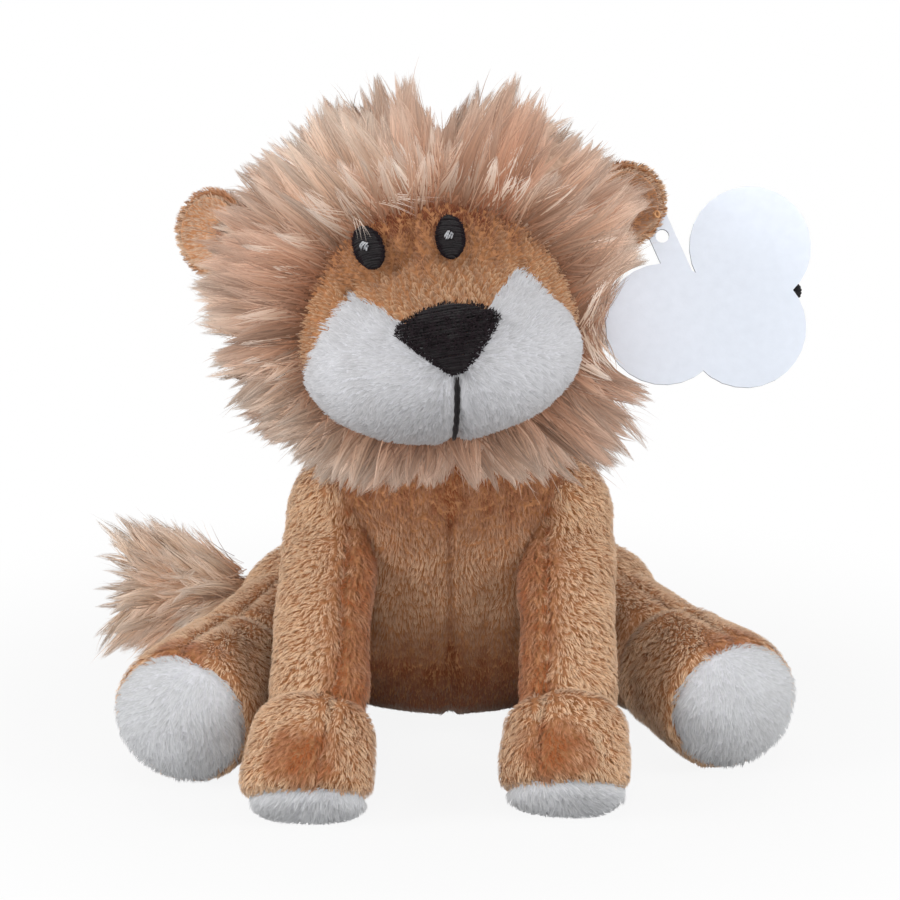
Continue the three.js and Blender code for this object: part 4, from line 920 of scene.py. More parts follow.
head_seat = ball(neck_point, CHEST_RADIUS + SEAM_GAP, SEAT_FINENESS)
head = Skin(*settled([head_form()], HEAD_SMOOTHING, [head_seat]))
local = to_head(head.verts)
flat = local[:, [0, 2]]
ahead = local[:, 1] < 0
muzzle_edge = np.full(len(local), np.inf)
for number, (_, sign) in enumerate(SIDES):
    inside, edge = inside_outline(panel(sign), flat)
    inside &= local[:, 1] < -MUZZLE_PANEL_BACK
    head.zone[inside] = 1 + number
    muzzle_edge = np.minimum(muzzle_edge, np.where(ahead, edge, np.inf))
from_back = np.abs(local[:, 1] + MUZZLE_PANEL_BACK)
back_edge = np.where(ahead & ((head.zone > 0) | (from_back < PANEL_BACK_EDGE)), from_back, np.inf)
head.groove(np.minimum(muzzle_edge, back_edge), MUZZLE_SEAM_DEPTH, SEAM_WIDTH)
for crease, depth_share in CREASES:
    away = np.where(ahead, from_line(flat, crease), CREASE_WIDTH * NO_GROOVE)
    head.groove(away, CREASE_DEPTH * depth_share, CREASE_WIDTH)
head.push(HEAD_UNEVENNESS * soft_noise(head.verts, HEAD_LUMP, 5))
skin_piece("head_plush", head, "head", TAN_BACKING, "tan_plush", 0, ("head_cover", "head_filling"))
for number, (side, _) in enumerate(SIDES):
    skin_piece(f"muzzle_{side}_plush", head, "head", WHITE_BACKING, "white_plush", 1 + number,
               (f"muzzle_{side}",))

nose_place = to_world(np.array([[0, -(MUZZLE_FORWARD + MUZZLE_DEPTH / 2), -NOSE_DROP]]))[0]
away_from_nose = lambda points: points - nose_place
tag_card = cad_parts["tag"].data
tag_verts = [v.co / METRE for v in tag_card.vertices]
tag_middle = sum(v[2] for v in tag_verts) / len(tag_verts) - TAG_LOBE_DROP
tag_tree = BVHTree.FromPolygons(tag_verts, [p.vertices[:] for p in tag_card.polygons])
from_tag = lambda v: tag_tree.find_nearest(Vector(v))[3]
beside_tag = np.array([v[0] > TAG_NEAR and from_tag(v) < TAG_ROOM for v in head.verts])


def brow_painted_shade(points):
    """Painted shade of the mane's shadow: the pile darkens from the bridge of the nose up to the brow, but not
    behind the mane.
    """
    local = to_head(points)
    rise = (local[:, 2] - BROW_START) / (BROW_END - BROW_START)
    at_bridge, added = FACE_SHADE_SHARES
    return at_bridge + added * np.clip(rise, 0, 1) * (local[:, 1] < 0)


pile("head_pile", head, away_from_nose, "head", FACE_PILE, 0, ~beside_tag, 21, shaded=brow_painted_shade,
     length=FACE_LENGTH, lift=FACE_LIFT, clump=FACE_CLUMP, pull=FACE_PULL)
for number, (side, _) in enumerate(SIDES):
    pile(f"muzzle_{side}_pile", head, away_from_nose, "head", MUZZLE_PILE, 1 + number, seed=23 + number,
         slot="white_plush", length=WHITE_LENGTH, width=WHITE_WIDTH, lift=WHITE_LIFT, clump=MUZZLE_CLUMP)


# Embroidery: rows of satin stitches laid on the face
def tube_mesh(name, lines, radius):
    """Round threads along lines of equal point counts."""
    count, steps, _ = lines.shape
    tangents = unit(np.gradient(lines, axis=1))
    helper = unit(np.cross(tangents, tangents.mean((0, 1)) + ASKEW_SHARES))
    other = np.cross(tangents, helper)
    sides = THREAD_SIDES
    angle = np.arange(sides) / sides * TURN
    from_end = np.minimum(np.linspace(0, 1, steps), np.linspace(1, 0, steps))
    ends = np.minimum(1, THREAD_END_SHARES[0] * from_end + THREAD_END_SHARES[1])
    ring = helper[:, :, None] * np.cos(angle)[:, None] + other[:, :, None] * np.sin(angle)[:, None]
    verts = (lines[:, :, None] + ring * radius * ends[None, :, None, None]).reshape(-1, 3)
    faces = []
    for strand in range(count):
        base = strand * steps * sides
        for step in range(steps - 1):
            for k in range(sides):
                a, b = base + step * sides + k, base + step * sides + (k + 1) % sides
                faces.append((a, b, b + sides, a + sides))
        faces.append(tuple(base + k for k in range(sides - 1, -1, -1)))
        faces.append(tuple(base + (steps - 1) * sides + k for k in range(sides)))
    return blender_mesh(name, verts, faces, smooth=True)


def threads(name, lines, radius, body, material, slot, replaced):
    """Threads along lines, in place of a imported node."""
    made = show(name, tube_mesh(name, lines, radius), body, material, slot)
    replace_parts(made, replaced)


def row_spans(outline, heights):
    """Where rows at some heights enter and leave an outline."""
    spans = []
    for height in heights:
        crossings = []
        for (ax, ay), (bx, by) in zip(outline, outline[1:] + outline[:1]):
            if (ay > height) != (by > height):
                crossings.append(ax + (height - ay) * (bx - ax) / (by - ay))
        if len(crossings) >= 2:
            spans.append((min(crossings), max(crossings), height))
    return spans


def nap_over(name, outline, length, lift, crown, body, slot, rng, seed):
    """Short black strands over and round stitched work."""
    past, grown = (length * share for share in NAP_REACH_SHARES)
    tried = []
    for k in range(2):
        values = [place[k] for place in outline]
        tried.append(rng.uniform(min(values) - past, max(values) + past, NAP_COUNT))
    across, up = tried
    inside, edge = inside_outline(outline, np.stack([across, up], -1))
    kept = inside | (edge < grown)
    across, up, edge = across[kept], up[kept], np.where(inside, edge, 0)[kept]
    normals = normals_on_face(across, up)
    rise = lift + crown * np.minimum(edge / 3, 1) - NAP_SINK
    roots = face_point(across, up) + normals * rise[:, None]
    lean = unit(normals + rng.normal(0, NAP_LEAN_SHARE, (len(roots), 3)))
    size = (length * rng.uniform(*NAP_LENGTH_SHARES, len(roots)))[:, None]
    tips = clumped(roots, roots + lean * size, NAP_CLUMP, PILE_PULL, seed)
    strands = np.stack([roots, (roots + tips) / 2 + normals * length * NAP_ARCH_SHARE, tips], 1)
    tint = rng.random((len(roots), 2))
    widths = NAP_WIDTH * rng.uniform(*PILE_WIDTH_SHARES, len(roots))
    show(name, ribbons(name, to_world(strands), widths, normals @ turn.T, tint), body, BLACK_PILE, slot)


def stitches(name, outline, angle, spacing, radius, lift, crown, material, slot, seed, replaced,
             steps=STITCH_STEPS, nap_length=0):
    """Satin stitches across an outline, turned by an angle, crowned in the middle."""
    rng = np.random.default_rng(seed)
    cos, sin = math.cos(angle), math.sin(angle)
    middle = np.mean(outline, axis=0)
    turned = [((x - middle[0]) * cos + (y - middle[1]) * sin, (y - middle[1]) * cos - (x - middle[0]) * sin)
              for x, y in outline]
    low, high = min(y for _, y in turned), max(y for _, y in turned)
    lines = []
    for left, right, height in row_spans(turned, np.arange(low + spacing / 2, high, spacing)):
        share = np.linspace(0, 1, steps)
        x = left + (right - left) * share + rng.normal(0, STITCH_END_SPREAD)
        y = height + rng.normal(0, spacing * STITCH_ROW_SHARES[0])
        y = y + spacing * STITCH_ROW_SHARES[1] * np.sin(share * math.pi + rng.uniform(0, STITCH_TURNS))
        full = math.sqrt(max(0, 1 - ((height - (low + high) / 2) / ((high - low) / 2)) ** 2))
        rise = lift + crown * full * np.sin(share * math.pi) + rng.normal(0, STITCH_RISE_SPREAD)
        across, up = x * cos - y * sin + middle[0], x * sin + y * cos + middle[1]
        lines.append(face_point(across, up, 0) + normals_on_face(across, up) * rise[:, None])
    if nap_length:
        made = tube_mesh(name, to_world(np.array(lines)), radius)
        nap_over(f"{name}_nap", outline, nap_length, lift, crown, "head", slot, rng, seed)
        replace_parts(show(name, made, "head", material, slot), replaced)
    else:
        threads(name, to_world(np.array(lines)), radius, "head", material, slot, replaced)


def normals_on_face(across, rise):
    return unit(face_point(across, rise, 1.0) - face_point(across, rise, 0.0))


nose_outline = [(a * (NOSE_WIDTH / 2 - NAP_EDGE), r * (NOSE_HEIGHT / 2 - NAP_EDGE) - NOSE_DROP)
                for a, r in NOSE_SHARES]
stitches("nose_stitches", nose_outline, 0.0, *NOSE_STITCH, *BLACK, 31, "nose", NOSE_STEPS, NOSE_NAP)
for side, sign in SIDES:
    middle = (sign * EYE_SPACING / 2 - EYES_ASIDE, EYES_UP)
    tilt = math.radians(-sign * EYE_TILT)
    ring = []
    for angle in np.arange(EYE_POINTS) / EYE_POINTS * TURN:
        x, y = math.cos(angle) * (EYE_WIDTH / 2 - NAP_EDGE), math.sin(angle) * (EYE_HEIGHT / 2 - 2 * NAP_EDGE)
        ring.append((x * math.cos(tilt) - y * math.sin(tilt) + middle[0],
                     x * math.sin(tilt) + y * math.cos(tilt) + middle[1]))
    stitches(f"eye_{side}_stitches", ring, tilt, *EYE_STITCH, *BLACK, 33 + sign, f"eye_{side}",
             nap_length=EYE_NAP)
    spot = [(middle[0] - EYE_LIGHT_ASIDE + EYE_LIGHT_RADIUS * math.cos(angle),
             middle[1] + EYE_LIGHT_RADIUS * math.sin(angle))
            for angle in np.arange(EYE_LIGHT_POINTS) / EYE_LIGHT_POINTS * TURN]
    stitches(f"eye_light_{side}_stitches", spot, EYE_LIGHT_ANGLE, *EYE_LIGHT_STITCH, *LIGHT, 37 + sign,
             f"eye_light_{side}", EYE_LIGHT_STEPS)
slant = math.radians(MOUTH_SLANT)
mouth_share = np.linspace(0, 1, MOUTH_STEPS)
mouth_x = -np.sin(slant) * MOUTH_LENGTH * mouth_share
mouth_y = -NOSE_DROP - NOSE_HEIGHT / 2 - np.cos(slant) * MOUTH_LENGTH * mouth_share
strands = []
for offset in (-MOUTH_THREAD_OFFSET, MOUTH_THREAD_OFFSET):
    x = mouth_x + offset + MOUTH_WAVE * np.sin(mouth_share * MOUTH_RIPPLES[0] + offset * MOUTH_RIPPLES[1])
    strands.append(face_point(x, mouth_y, 0) + normals_on_face(x, mouth_y) * MOUTH_THREAD_LIFT)
threads("mouth_stitches", to_world(np.array(strands)), MOUTH_THREAD_RADIUS, "head", *BLACK, "mouth_stitch")

# Mane
def outwards(angle):
    """The way out from the head's front-to-back axis at an angle."""
    return np.stack([np.cos(angle), np.zeros(len(angle)), np.sin(angle)], -1)


def section_radius(angle, y):
    """How far the head's surface is from its front-to-back axis at an angle and a place along the axis."""
    return reach_along(np.stack([np.zeros_like(y), y, np.zeros_like(y)], -1), outwards(angle))


def mane_reach(angle, shares=MANE_REACH_SHARES, width=MANE_PARTING_WIDTH, depth=MANE_PARTING_DEPTH):
    """How far the mane stands out at an angle, with its parting at the crown."""
    from_notch = 2 * MANE_REACH * np.sin((angle - math.radians(MANE_PARTING_ANGLE)) / 2) / (width / 2)
    return MANE_REACH * read_shares(shares, (angle / TURN) % 1) - depth * np.exp(-from_notch ** 4)


def first_behind(line, margins=TAG_MARGINS):
    """The first point of a hair that would hide the card tag or lie beyond it, if there is one."""
    eye = Vector(CAMERA_PLACE)
    for k in range(1, len(line)):
        point, before = Vector(line[k]), Vector(line[k - 1])
        step = point - before
        if tag_tree.ray_cast(before, step.normalized(), step.length)[0] is not None:
            return k
        for aside in margins:
            seen_from = point + aside
            if tag_tree.ray_cast(seen_from, (seen_from - eye).normalized())[0] is not None:
                return k
    return None


def clear_of_tag(lines, seed):
    """Sweeps the hair at the card tag aside, up or down the mane's side, where the tag presses it flat.

    Hair that finds no way is shortened, or left out where too little of it would stay."""
    rng = np.random.default_rng(seed)
    steps = lines.shape[1]
    fits = np.ones(len(lines), bool)
    sweeps = [(angle, TAG_MARGINS) for angle in TAG_SWEEPS] + [(TAG_SWEEPS[-1], (-TAG_OVERLAP,))]
    for i in np.nonzero(lines[:, :, 0].max(1) > TAG_NEAR)[0]:
        at = first_behind(lines[i])
        if at is None:
            continue
        above = lines[i, 0, 2] + rng.normal(0, TAG_SWEEP_SPREAD) > tag_middle
        for angle, margins in sweeps:
            sweep = np.array(Matrix.Rotation(math.radians(-angle if above else angle), 3, "Y"))
            swept = lines[i, 0] + (lines[i] - lines[i, 0]) @ sweep.T
            if first_behind(swept, margins) is None:
                lines[i] = swept
                break
        else:
            fits[i] = at > TAG_STUB_STEPS
            kept = np.linspace(0, at - 1, steps)
            lines[i] = np.stack([np.interp(kept, np.arange(steps), along) for along in lines[i].T], -1)
    return lines, fits


def hair(name, roots, tips, bows, facing, body, material, per_lock, seed, spread=LOCK_SPREAD):
    """Locks of long pile: each lock's hairs start apart and meet near its tip, and it faces one way."""
    rng = np.random.default_rng(seed)
    count = len(roots) * per_lock
    lock = np.repeat(np.arange(len(roots)), per_lock)
    offset = rng.normal(0, spread / 2, (count, 3))
    axis = tips[lock] - roots[lock]
    reach = np.linalg.norm(axis, axis=1, keepdims=True)
    end = tips[lock] - axis * rng.uniform(0, HAIR_SHORTER_SHARE, (count, 1)) ** 2
    stray = rng.random(count) < STRAY_SHARE
    end[stray] += rng.normal(0, 1, (stray.sum(), 3)) * reach[stray] * STRAY_REACH_SHARE
    t = np.linspace(0, 1, HAIR_STEPS)[None, :, None]
    bow = bows[lock] + rng.normal(0, HAIR_WAVE_SHARE, (count, 3)) * reach
    lines = roots[lock][:, None] * (1 - t) + end[:, None] * t + bow[:, None] * 4 * t * (1 - t)
    narrowing = LOCK_TIP_SHARE + (1 - LOCK_TIP_SHARE) * (1 - t) ** HAIR_TAPER_SHARE
    lines = lines + offset[:, None] * narrowing
    kink = rng.normal(0, HAIR_KINK_SHARE, (count, 3)) * reach
    lines = lines + kink[:, None] * np.sin(t * HAIR_KINKS * math.pi) * t
    unevenness = rng.normal(0, FACING_SPREAD, (count, 3))
    facing = unit(facing[lock] + offset / spread * HAIR_FANNING_SHARE + unevenness)
    tone = rng.random(len(roots))
    of_lock, own = LOCK_TONE_SHARES
    tint = np.stack([of_lock * tone[lock] + own * rng.random(count),
                     0.5 + 0.5 * soft_noise(roots[lock], TONE_SIZE, seed + 3)], -1)
    lines, fits = clear_of_tag(lines, seed + 5)
    lines, facing, tint = lines[fits], facing[fits], tint[fits]
    widths = HAIR_WIDTH * rng.uniform(*PILE_WIDTH_SHARES, len(lines))
    made = show(name, ribbons(name, lines, widths, facing, tint), body, material, "long_pile")
    made.visible_shadow = False        # light passes through so fine a fibre; the core has the shadow


def mane_locks(count, seed, depth_range, length_range, swing_spread):
    """Roots, tips and bows of locks over a stretch of the band's width, front edge 0 to back edge 1."""
    rng = np.random.default_rng(seed)
    angle = rng.random(count) * TURN
    depth = rng.uniform(*depth_range, count)
    y = MANE_BAND_WIDTH * (depth - 0.5) - MANE_FORWARD
    radius = section_radius(angle, y) - MANE_ROOT_DEPTH
    roots = outwards(angle) * radius[:, None] - FORWARD * y[:, None]
    tufted = np.stack([np.cos(angle), np.sin(angle), depth * TUFT_DEPTH_SHARE], -1) * MANE_REACH
    drift = SWING_DRIFT_SHARE * soft_noise(tufted, SWING_DRIFT_SIZE, TUFT_SEED + 1, 1)
    tip_angle = angle + rng.normal(0, swing_spread, count) + drift
    reach = mane_reach(tip_angle, HAIR_REACH_SHARES, HAIR_PARTING_WIDTH, HAIR_PARTING_DEPTH)
    reach = reach * (1 - MANE_ROUND_SHARE * (depth - MANE_CREST_SHARE) ** 2)
    reach = reach * (1 + TUFTING_SHARE * soft_noise(tufted, TUFTING_SIZE, TUFT_SEED, 1))
    tip_y = MANE_BAND_WIDTH * (-0.5 + MANE_LEAN_SHARE * depth) - MANE_FORWARD + MANE_SWEEP
    tip_y = tip_y + rng.normal(0, MANE_TIP_SPREAD, count)
    tips = outwards(tip_angle) * reach[:, None] - FORWARD * tip_y[:, None]
    tips = roots + (tips - roots) * rng.uniform(*length_range, count)[:, None]
    tips = clumped(roots, tips, LOCK_CLUMP, LOCK_PULL, seed)
    length = np.linalg.norm(tips - roots, axis=1)[:, None]
    droop, spread = LOCK_BOW_SHARES
    bows = FORWARD * droop * length + rng.normal(0, spread, (count, 3)) * length
    back = LOCK_BACK_SHARES[0] * (depth[:, None] - LOCK_BACK_SHARES[1])
    return roots, tips, bows, unit(outwards(angle) * LOCK_OUT_SHARE - FORWARD * back)


def fore_locks(count, seed, angles, rise, lean):
    """Locks of the front edge that stand up before the others, pale with painted highlight."""
    rng = np.random.default_rng(seed)
    angle = np.radians(rng.uniform(*angles, count))
    y = MANE_BAND_WIDTH * (rng.uniform(*FORE_DEPTH_SHARES, count) - 0.5) - MANE_FORWARD
    radius = section_radius(angle, y) - MANE_ROOT_DEPTH / 2
    roots = outwards(angle) * radius[:, None] - FORWARD * y[:, None]
    forward = np.stack([rng.normal(0, FORE_SPREAD, count), -rng.uniform(*lean, count), np.zeros(count)], -1)
    tips = roots + forward + outwards(angle) * rng.uniform(*rise, (count, 1))
    bows = FORWARD * rng.uniform(*FORE_BOW, (count, 1))
    return roots, tips, bows, unit(outwards(angle) * FORE_OUT_SHARE + FORWARD)


for make, material, rows in ((mane_locks, MANE_HAIR, MANE_ROWS), (fore_locks, MANE_HIGHLIGHT_HAIR, FORE_ROWS)):
    for name, (*row, per_lock) in rows.items():
        roots, tips, bows, facing = make(*row)
        hair(name, to_world(roots), to_world(tips), bows @ turn.T, facing @ turn.T, "head", material,
             per_lock, len(roots))


def brow_strands(name, seed):
    """Pale hairs of the mane that fall across the brow and over the left eye; their paleness is painted
    highlight.
    """
    rng = np.random.default_rng(seed)
    t = np.linspace(0, 1, BROW_STRAND_STEPS)
    lines = []
    for number in range(BROW_STRAND_COUNT):
        start, bend, end = (np.array(place) + rng.normal(0, BROW_STRAND_SPREAD, 2) for place in
                            BROW_STRANDS[number % len(BROW_STRANDS)])
        at = np.outer((1 - t) ** 2, start) + np.outer(2 * t * (1 - t), bend) + np.outer(t ** 2, end)
        lines.append(face_point(at[:, 0], at[:, 1], rng.uniform(*BROW_STRAND_LIFT)))
    facing = unit(np.array(BROW_FACING_SHARES) + rng.normal(0, FACING_SPREAD, (len(lines), 3)))
    widths, tint = np.full(len(lines), BROW_STRAND_WIDTH), np.full((len(lines), 2), 0.5)
    mesh = ribbons(name, to_world(np.array(lines)), widths, facing, tint)
    show(name, mesh, "head", MANE_HIGHLIGHT_HAIR, "long_pile").visible_shadow = False


brow_strands("mane_brow_strands", 48)


def mane_core():
    """The band itself with the short underside of its pile: a ring whose section rises from the head."""
    section = np.linspace(0, 1, CORE_ROWS)
    across = MANE_BAND_WIDTH * CORE_BAND_SHARE * (section - 0.5) - MANE_FORWARD
    angles = np.arange(CORE_COLUMNS) / CORE_COLUMNS * TURN

    def column_at(angle, share):
        radius = section_radius(np.full(CORE_ROWS, angle), across) - CORE_SINK
        full = np.sin(section * math.pi) ** CORE_ROUND_SHARE
        rise = share * (mane_reach(np.array([angle]))[0] - radius) * full
        out = np.append(radius + rise, radius[CORE_ROWS // 2] - CORE_UNDERSIDE)
        y = np.append(across, -MANE_FORWARD)
        return np.stack([math.cos(angle) * out, y, math.sin(angle) * out], -1)

    def hides_tag(column):
        return any(first_behind(to_world(np.array([[0, v[1], 0], v]))) is not None for v in column)

    shares = np.full(CORE_COLUMNS, CORE_SHARE)
    for number, angle in enumerate(angles):
        for share in CORE_SHARES_AT_TAG:
            if not hides_tag(column_at(angle, share)):
                break
            shares[number] = share
    lowest = np.min([np.roll(shares, k) for k in range(-CORE_KEPT_LOW, CORE_KEPT_LOW + 1)], axis=0)
    shares = np.mean([np.roll(lowest, k) for k in range(-CORE_EVENED, CORE_EVENED + 1)], axis=0)
    verts = np.concatenate([column_at(angle, share) for angle, share in zip(angles, shares)])
    per = CORE_ROWS + 1
    faces = []
    for column in range(CORE_COLUMNS):
        for row in range(per):
            here, there = column * per, (column + 1) % CORE_COLUMNS * per
            after = (row + 1) % per
            faces.append((here + row, here + after, there + after, there + row))
    return verts, faces


core_verts, core_faces = mane_core()
core = show("mane_band", blender_mesh("mane_band", to_world(core_verts), core_faces), "head", MANE_BACKING,
            "long_pile")
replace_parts(core, "mane")


# Ears
def ear_frame(side, sign):
    """An ear's root on the head, and its ways up the ear, back and along the seam."""
    rise, lean = math.radians(EAR_RISE[side]), math.radians(EAR_LEAN[side])
    out = np.array([sign * math.cos(rise), 0, math.sin(rise)])
    seam = np.cross(out, [0, 1, 0])
    tilted = out * math.cos(lean) + np.cross(seam, out) * math.sin(lean)
    back = np.cross(seam, tilted)
    reach = reach_along(np.zeros((1, 3)), out[None])[0]
    root = out * reach * math.sqrt(1 - (EAR_BACK / (HEAD_DEPTH / 2)) ** 2)
    root[1] = EAR_BACK
    return root, np.stack([tilted, back, seam], -1)


def ear_layer(place, near, far, rim_inset):
    """The skin of a bowl between two distances in front of the ear's back face."""
    def point_at(along, around):
        share = np.sin(along * math.pi) ** EAR_ROUND_SHARE
        angle = around * TURN
        x = EAR_HEIGHT / 2 - EAR_SEAT + np.cos(angle) * (EAR_HEIGHT / 2 - rim_inset) * share
        z = np.sin(angle) * (EAR_WIDTH / 2 - rim_inset) * share
        side = np.clip((along - 0.5) * EAR_RIM_SHARPNESS + 0.5, 0, 1)
        ahead = near + (far - near) * side + EAR_CUP * share ** 2
        return np.stack([x, -ahead, z], -1)

    verts, faces = poled(EAR_RINGS, EAR_SIDES, point_at)
    skin = Skin(place(verts), faces, inset=0)
    if (skin.normals * (skin.verts - skin.verts.mean(0))).sum() < 0:
        skin = Skin(place(verts), [face[::-1] for face in faces], inset=0)
    return skin


for side, sign in SIDES:
    root, basis = ear_frame(side, sign)
    place = lambda points: to_world(points @ basis.T + root)
    from_root = lambda points, middle=place(np.array([[0, 0, 0]]))[0]: points - middle
    up_share, spread_share = EAR_HOLLOW_SHARES[side]
    hollow = place(np.array([[EAR_HEIGHT * up_share, 0, 0]]))[0]

    # Painted shade in the ear's hollow, 0 to 1 at each point.
    def hollow_painted_shade(points):
        away = np.linalg.norm(points - hollow, axis=1) / (EAR_WIDTH * spread_share)
        return np.clip(EAR_HOLLOW_DEPTH_SHARE - away, 0, 1)

    for node_name, material, pile_look, slot, near, far, rim_inset, seed, shaded in (
        (f"ear_{side}", TAN_BACKING, TAN_PILE, "tan_plush", EAR_INSET * 2, EAR_THICKNESS - EAR_INSET,
         EAR_RIM_INSETS[0], 51, None),
        (f"ear_lining_{side}", LINING_BACKING, LINING_PILE, "ear_lining", EAR_THICKNESS,
         EAR_THICKNESS + EAR_LINING_THICKNESS, EAR_RIM_INSETS[1], 55, hollow_painted_shade),
    ):
        layer = ear_layer(place, near, far, rim_inset)
        skin_piece(f"{node_name}_plush", layer, f"ear_{side}", material, slot, replaces=(node_name,))
        pile(f"{node_name}_pile", layer, from_root, f"ear_{side}", pile_look, seed=seed + sign, slot=slot,
             shaded=shaded, length=EAR_PILE_LENGTH, lift=EAR_LIFT)


# Limbs
def limb_path(root, reach, shares):
    return Path([root] + [np.array([root[0] * a, root[1] - reach * b, root[2] * c]) for a, b, c in shares])


def limb(body, root, radius, width, path, tube, wrist_share, sole_normal, sole_depth, names, seed,
         seam_inwards=0, dark_share=LEG_SHADE_SHARE):
    """A limb's bag, its paw and its sole, as three pieces of one skin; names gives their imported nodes."""
    skin = Skin(*settled([tube, ball(root, radius, width=width)], LIMB_SMOOTHING))
    skin.settle(SKIN_INSET - FLOOR_SINK)
    tip = path.at(1.0)
    sole_offset = (skin.verts - (tip - sole_normal * sole_depth)) @ sole_normal
    wrist_offset = (skin.verts - path.at(wrist_share)) @ path.tangent(wrist_share)
    skin.zone[wrist_offset > 0] = 1
    skin.zone[sole_offset > 0] = 2
    skin.push(PAW_SWELL * np.exp(-((wrist_offset - PAW_SWELL_FROM_WRIST) / PAW_SWELL_WIDTH) ** 2))
    skin.groove(wrist_offset, WRIST_DEPTH, WRIST_WIDTH)
    skin.groove(sole_offset, SEAM_DEPTH, GROOVE_WIDTH)
    share = path.share_of(skin.verts)
    _, across, over = path.frame(share)
    offset = skin.verts - path.at(share)
    sideways, upwards = (offset * across).sum(1), (offset * over).sum(1)
    outer_sign = np.sign(root[0])
    on_top = (upwards > 0) & (sole_offset < 0) & (share > LIMB_SEAM_START_SHARE)
    top_seam = np.where(on_top, sideways * -outer_sign + seam_inwards, GROOVE_WIDTH * NO_GROOVE)
    skin.groove(top_seam, SEAM_DEPTH, SEAM_WIDTH)
    skin.push(UNEVENNESS * soft_noise(skin.verts, LIMB_LUMP, seed))
    brush_spot = path.at(BRUSH_SHARE) + path.frame(BRUSH_SHARE)[2] * radius * BRUSH_RISE_SHARE

    def side_painted_shade(points):
        """Painted light and shade: the outer side is pale as if lit from the side, the middle and the seam's
        furrow dark with painted shade; the brushed spot on the paw is dark too.
        """
        share = path.share_of(points)
        outer = ((points - path.at(share)) * path.frame(share)[1]).sum(1) * -outer_sign
        from_spot = np.linalg.norm(points - brush_spot, axis=1) / BRUSH_SPREAD
        ragged = BRUSH_DRIFT_SHARE * soft_noise(points, BRUSH_DRIFT_SIZE, seed + 23)
        brushed = np.exp(-(from_spot + ragged) ** 4)
        # painted shade in the seam's furrow, where the pile parts
        furrow_shade = np.exp(-((outer + seam_inwards) / RUFFLE_SPREAD) ** 2)
        furrow_shade = furrow_shade * (RUFFLE_SHADE_SHARES[0] + soft_noise(points, RUFFLE_SIZE, seed + 21))
        inner = np.clip(dark_share - INNER_SHADE_SHARE * outer / width, *SHADE_LIMIT_SHARES)
        on_paw = np.clip((share - wrist_share) / PAW_FADE_SHARE, 0, 1)
        shade = inner * (1 - PAW_SHADE_SHARE * on_paw) + BRUSH_SHADE_SHARE * brushed
        return shade + RUFFLE_SHADE_SHARES[1] * furrow_shade * (1 - on_paw)

    down = lambda points: np.tile([OUTWARD_SHARE * outer_sign, 0.0, -1.0], (len(points), 1))
    apart = lambda points: down(points) + SOLE_SPREAD_SHARE * unit(points - tip)
    tan = TAN_BACKING, "tan_plush", TAN_PILE, down, side_painted_shade, {}
    white_sizes = {"length": WHITE_LENGTH, "width": WHITE_WIDTH}
    white = WHITE_BACKING, "white_plush", WHITE_PILE, apart, None, white_sizes
    keep = np.linalg.norm(skin.verts - root, axis=1) > radius * BARE_BALL_SHARE
    pieces = [(zone, replaced, *look) for zone, (replaced, look) in enumerate(zip(names, (tan, tan, white)))]
    for zone, replaced, material, slot, *_ in pieces:
        skin_piece(f"{replaced[0]}_plush", skin, body, material, slot, zone, replaced)
    for zone, replaced, _, slot, pile_look, lay, shaded, sizes in pieces:
        pile(f"{replaced[0]}_pile", skin, lay, body, pile_look, zone, keep, seed + 3 * zone, slot, shaded,
             **sizes)


sole_angle = math.radians(FOREPAW_SOLE_ANGLE)
for number, (side, sign) in enumerate(SIDES):
    path = limb_path(shoulders[side], FORELEG_REACH, FORELEG_PATH_SHARES[side])
    tube = stuffed_tube(path, FOREPAW_WIDTH, FOREPAW_HEIGHT, FORELEG_SWELL_SHARES, PAW_ROUND_SHARE)
    names = [(f"foreleg_{side}", f"foreleg_filling_{side}"), (f"forepaw_{side}",), (f"forepaw_sole_{side}",)]
    limb(f"foreleg_{side}", shoulders[side], SHOULDER_RADIUS, SHOULDER_WIDTH, path, tube, FOREPAW_WRIST_SHARE,
         np.array([0, -math.sin(sole_angle), -math.cos(sole_angle)]), FOREPAW_SOLE_DEPTH, names,
         61 + 20 * number, FORELEG_SEAM_INWARDS)
    path = limb_path(hips[side], HIND_LEG_REACH, HIND_LEG_PATH_SHARES[side])
    tube = stuffed_tube(path, HIND_FOOT_WIDTH, HIND_FOOT_HEIGHT, HIND_LEG_SWELL_SHARES, PAW_ROUND_SHARE)
    names = [(f"hind_leg_{side}", f"hind_leg_filling_{side}"), (f"hind_foot_{side}",), (f"hind_sole_{side}",)]
    limb(f"hind_leg_{side}", hips[side], HIP_RADIUS, 2 * HIP_RADIUS, path, tube, HIND_ANKLE_SHARE,
         path.tangent(1.0), HIND_SOLE_DEPTH, names, 71 + 20 * number, dark_share=HIND_SHADE_SHARE)

# Tail
along_tail = lambda shares: tail_root + TAIL_REACH * np.array(shares)
tail_path = Path([tail_root, along_tail(TAIL_BEND_SHARES), along_tail(TAIL_END_SHARES)])
tail_tube = stuffed_tube(tail_path, TAIL_WIDTH, TAIL_WIDTH, [1, 1, 1])
tail = Skin(*settled([tail_tube, ball(tail_root, TAIL_ROOT_WIDTH / 2)], TAIL_SMOOTHING), inset=TAIL_INSET)
skin_piece("tail_plush", tail, "tail", TAN_BACKING, "tan_plush", replaces=("tail",))
tail_nap = lambda points: tail_path.frame(tail_path.share_of(points))[0]
pile("tail_pile", tail, tail_nap, "tail", TAN_PILE, seed=91)

# Tuft
pointing = unit(np.array(TUFT_POINTING_SHARES))
tuft_start = tail_path.at(1.0) - pointing * TUFT_SEAT
tuft_across = unit(np.cross(pointing, UP))
tuft_over = np.cross(tuft_across, pointing)


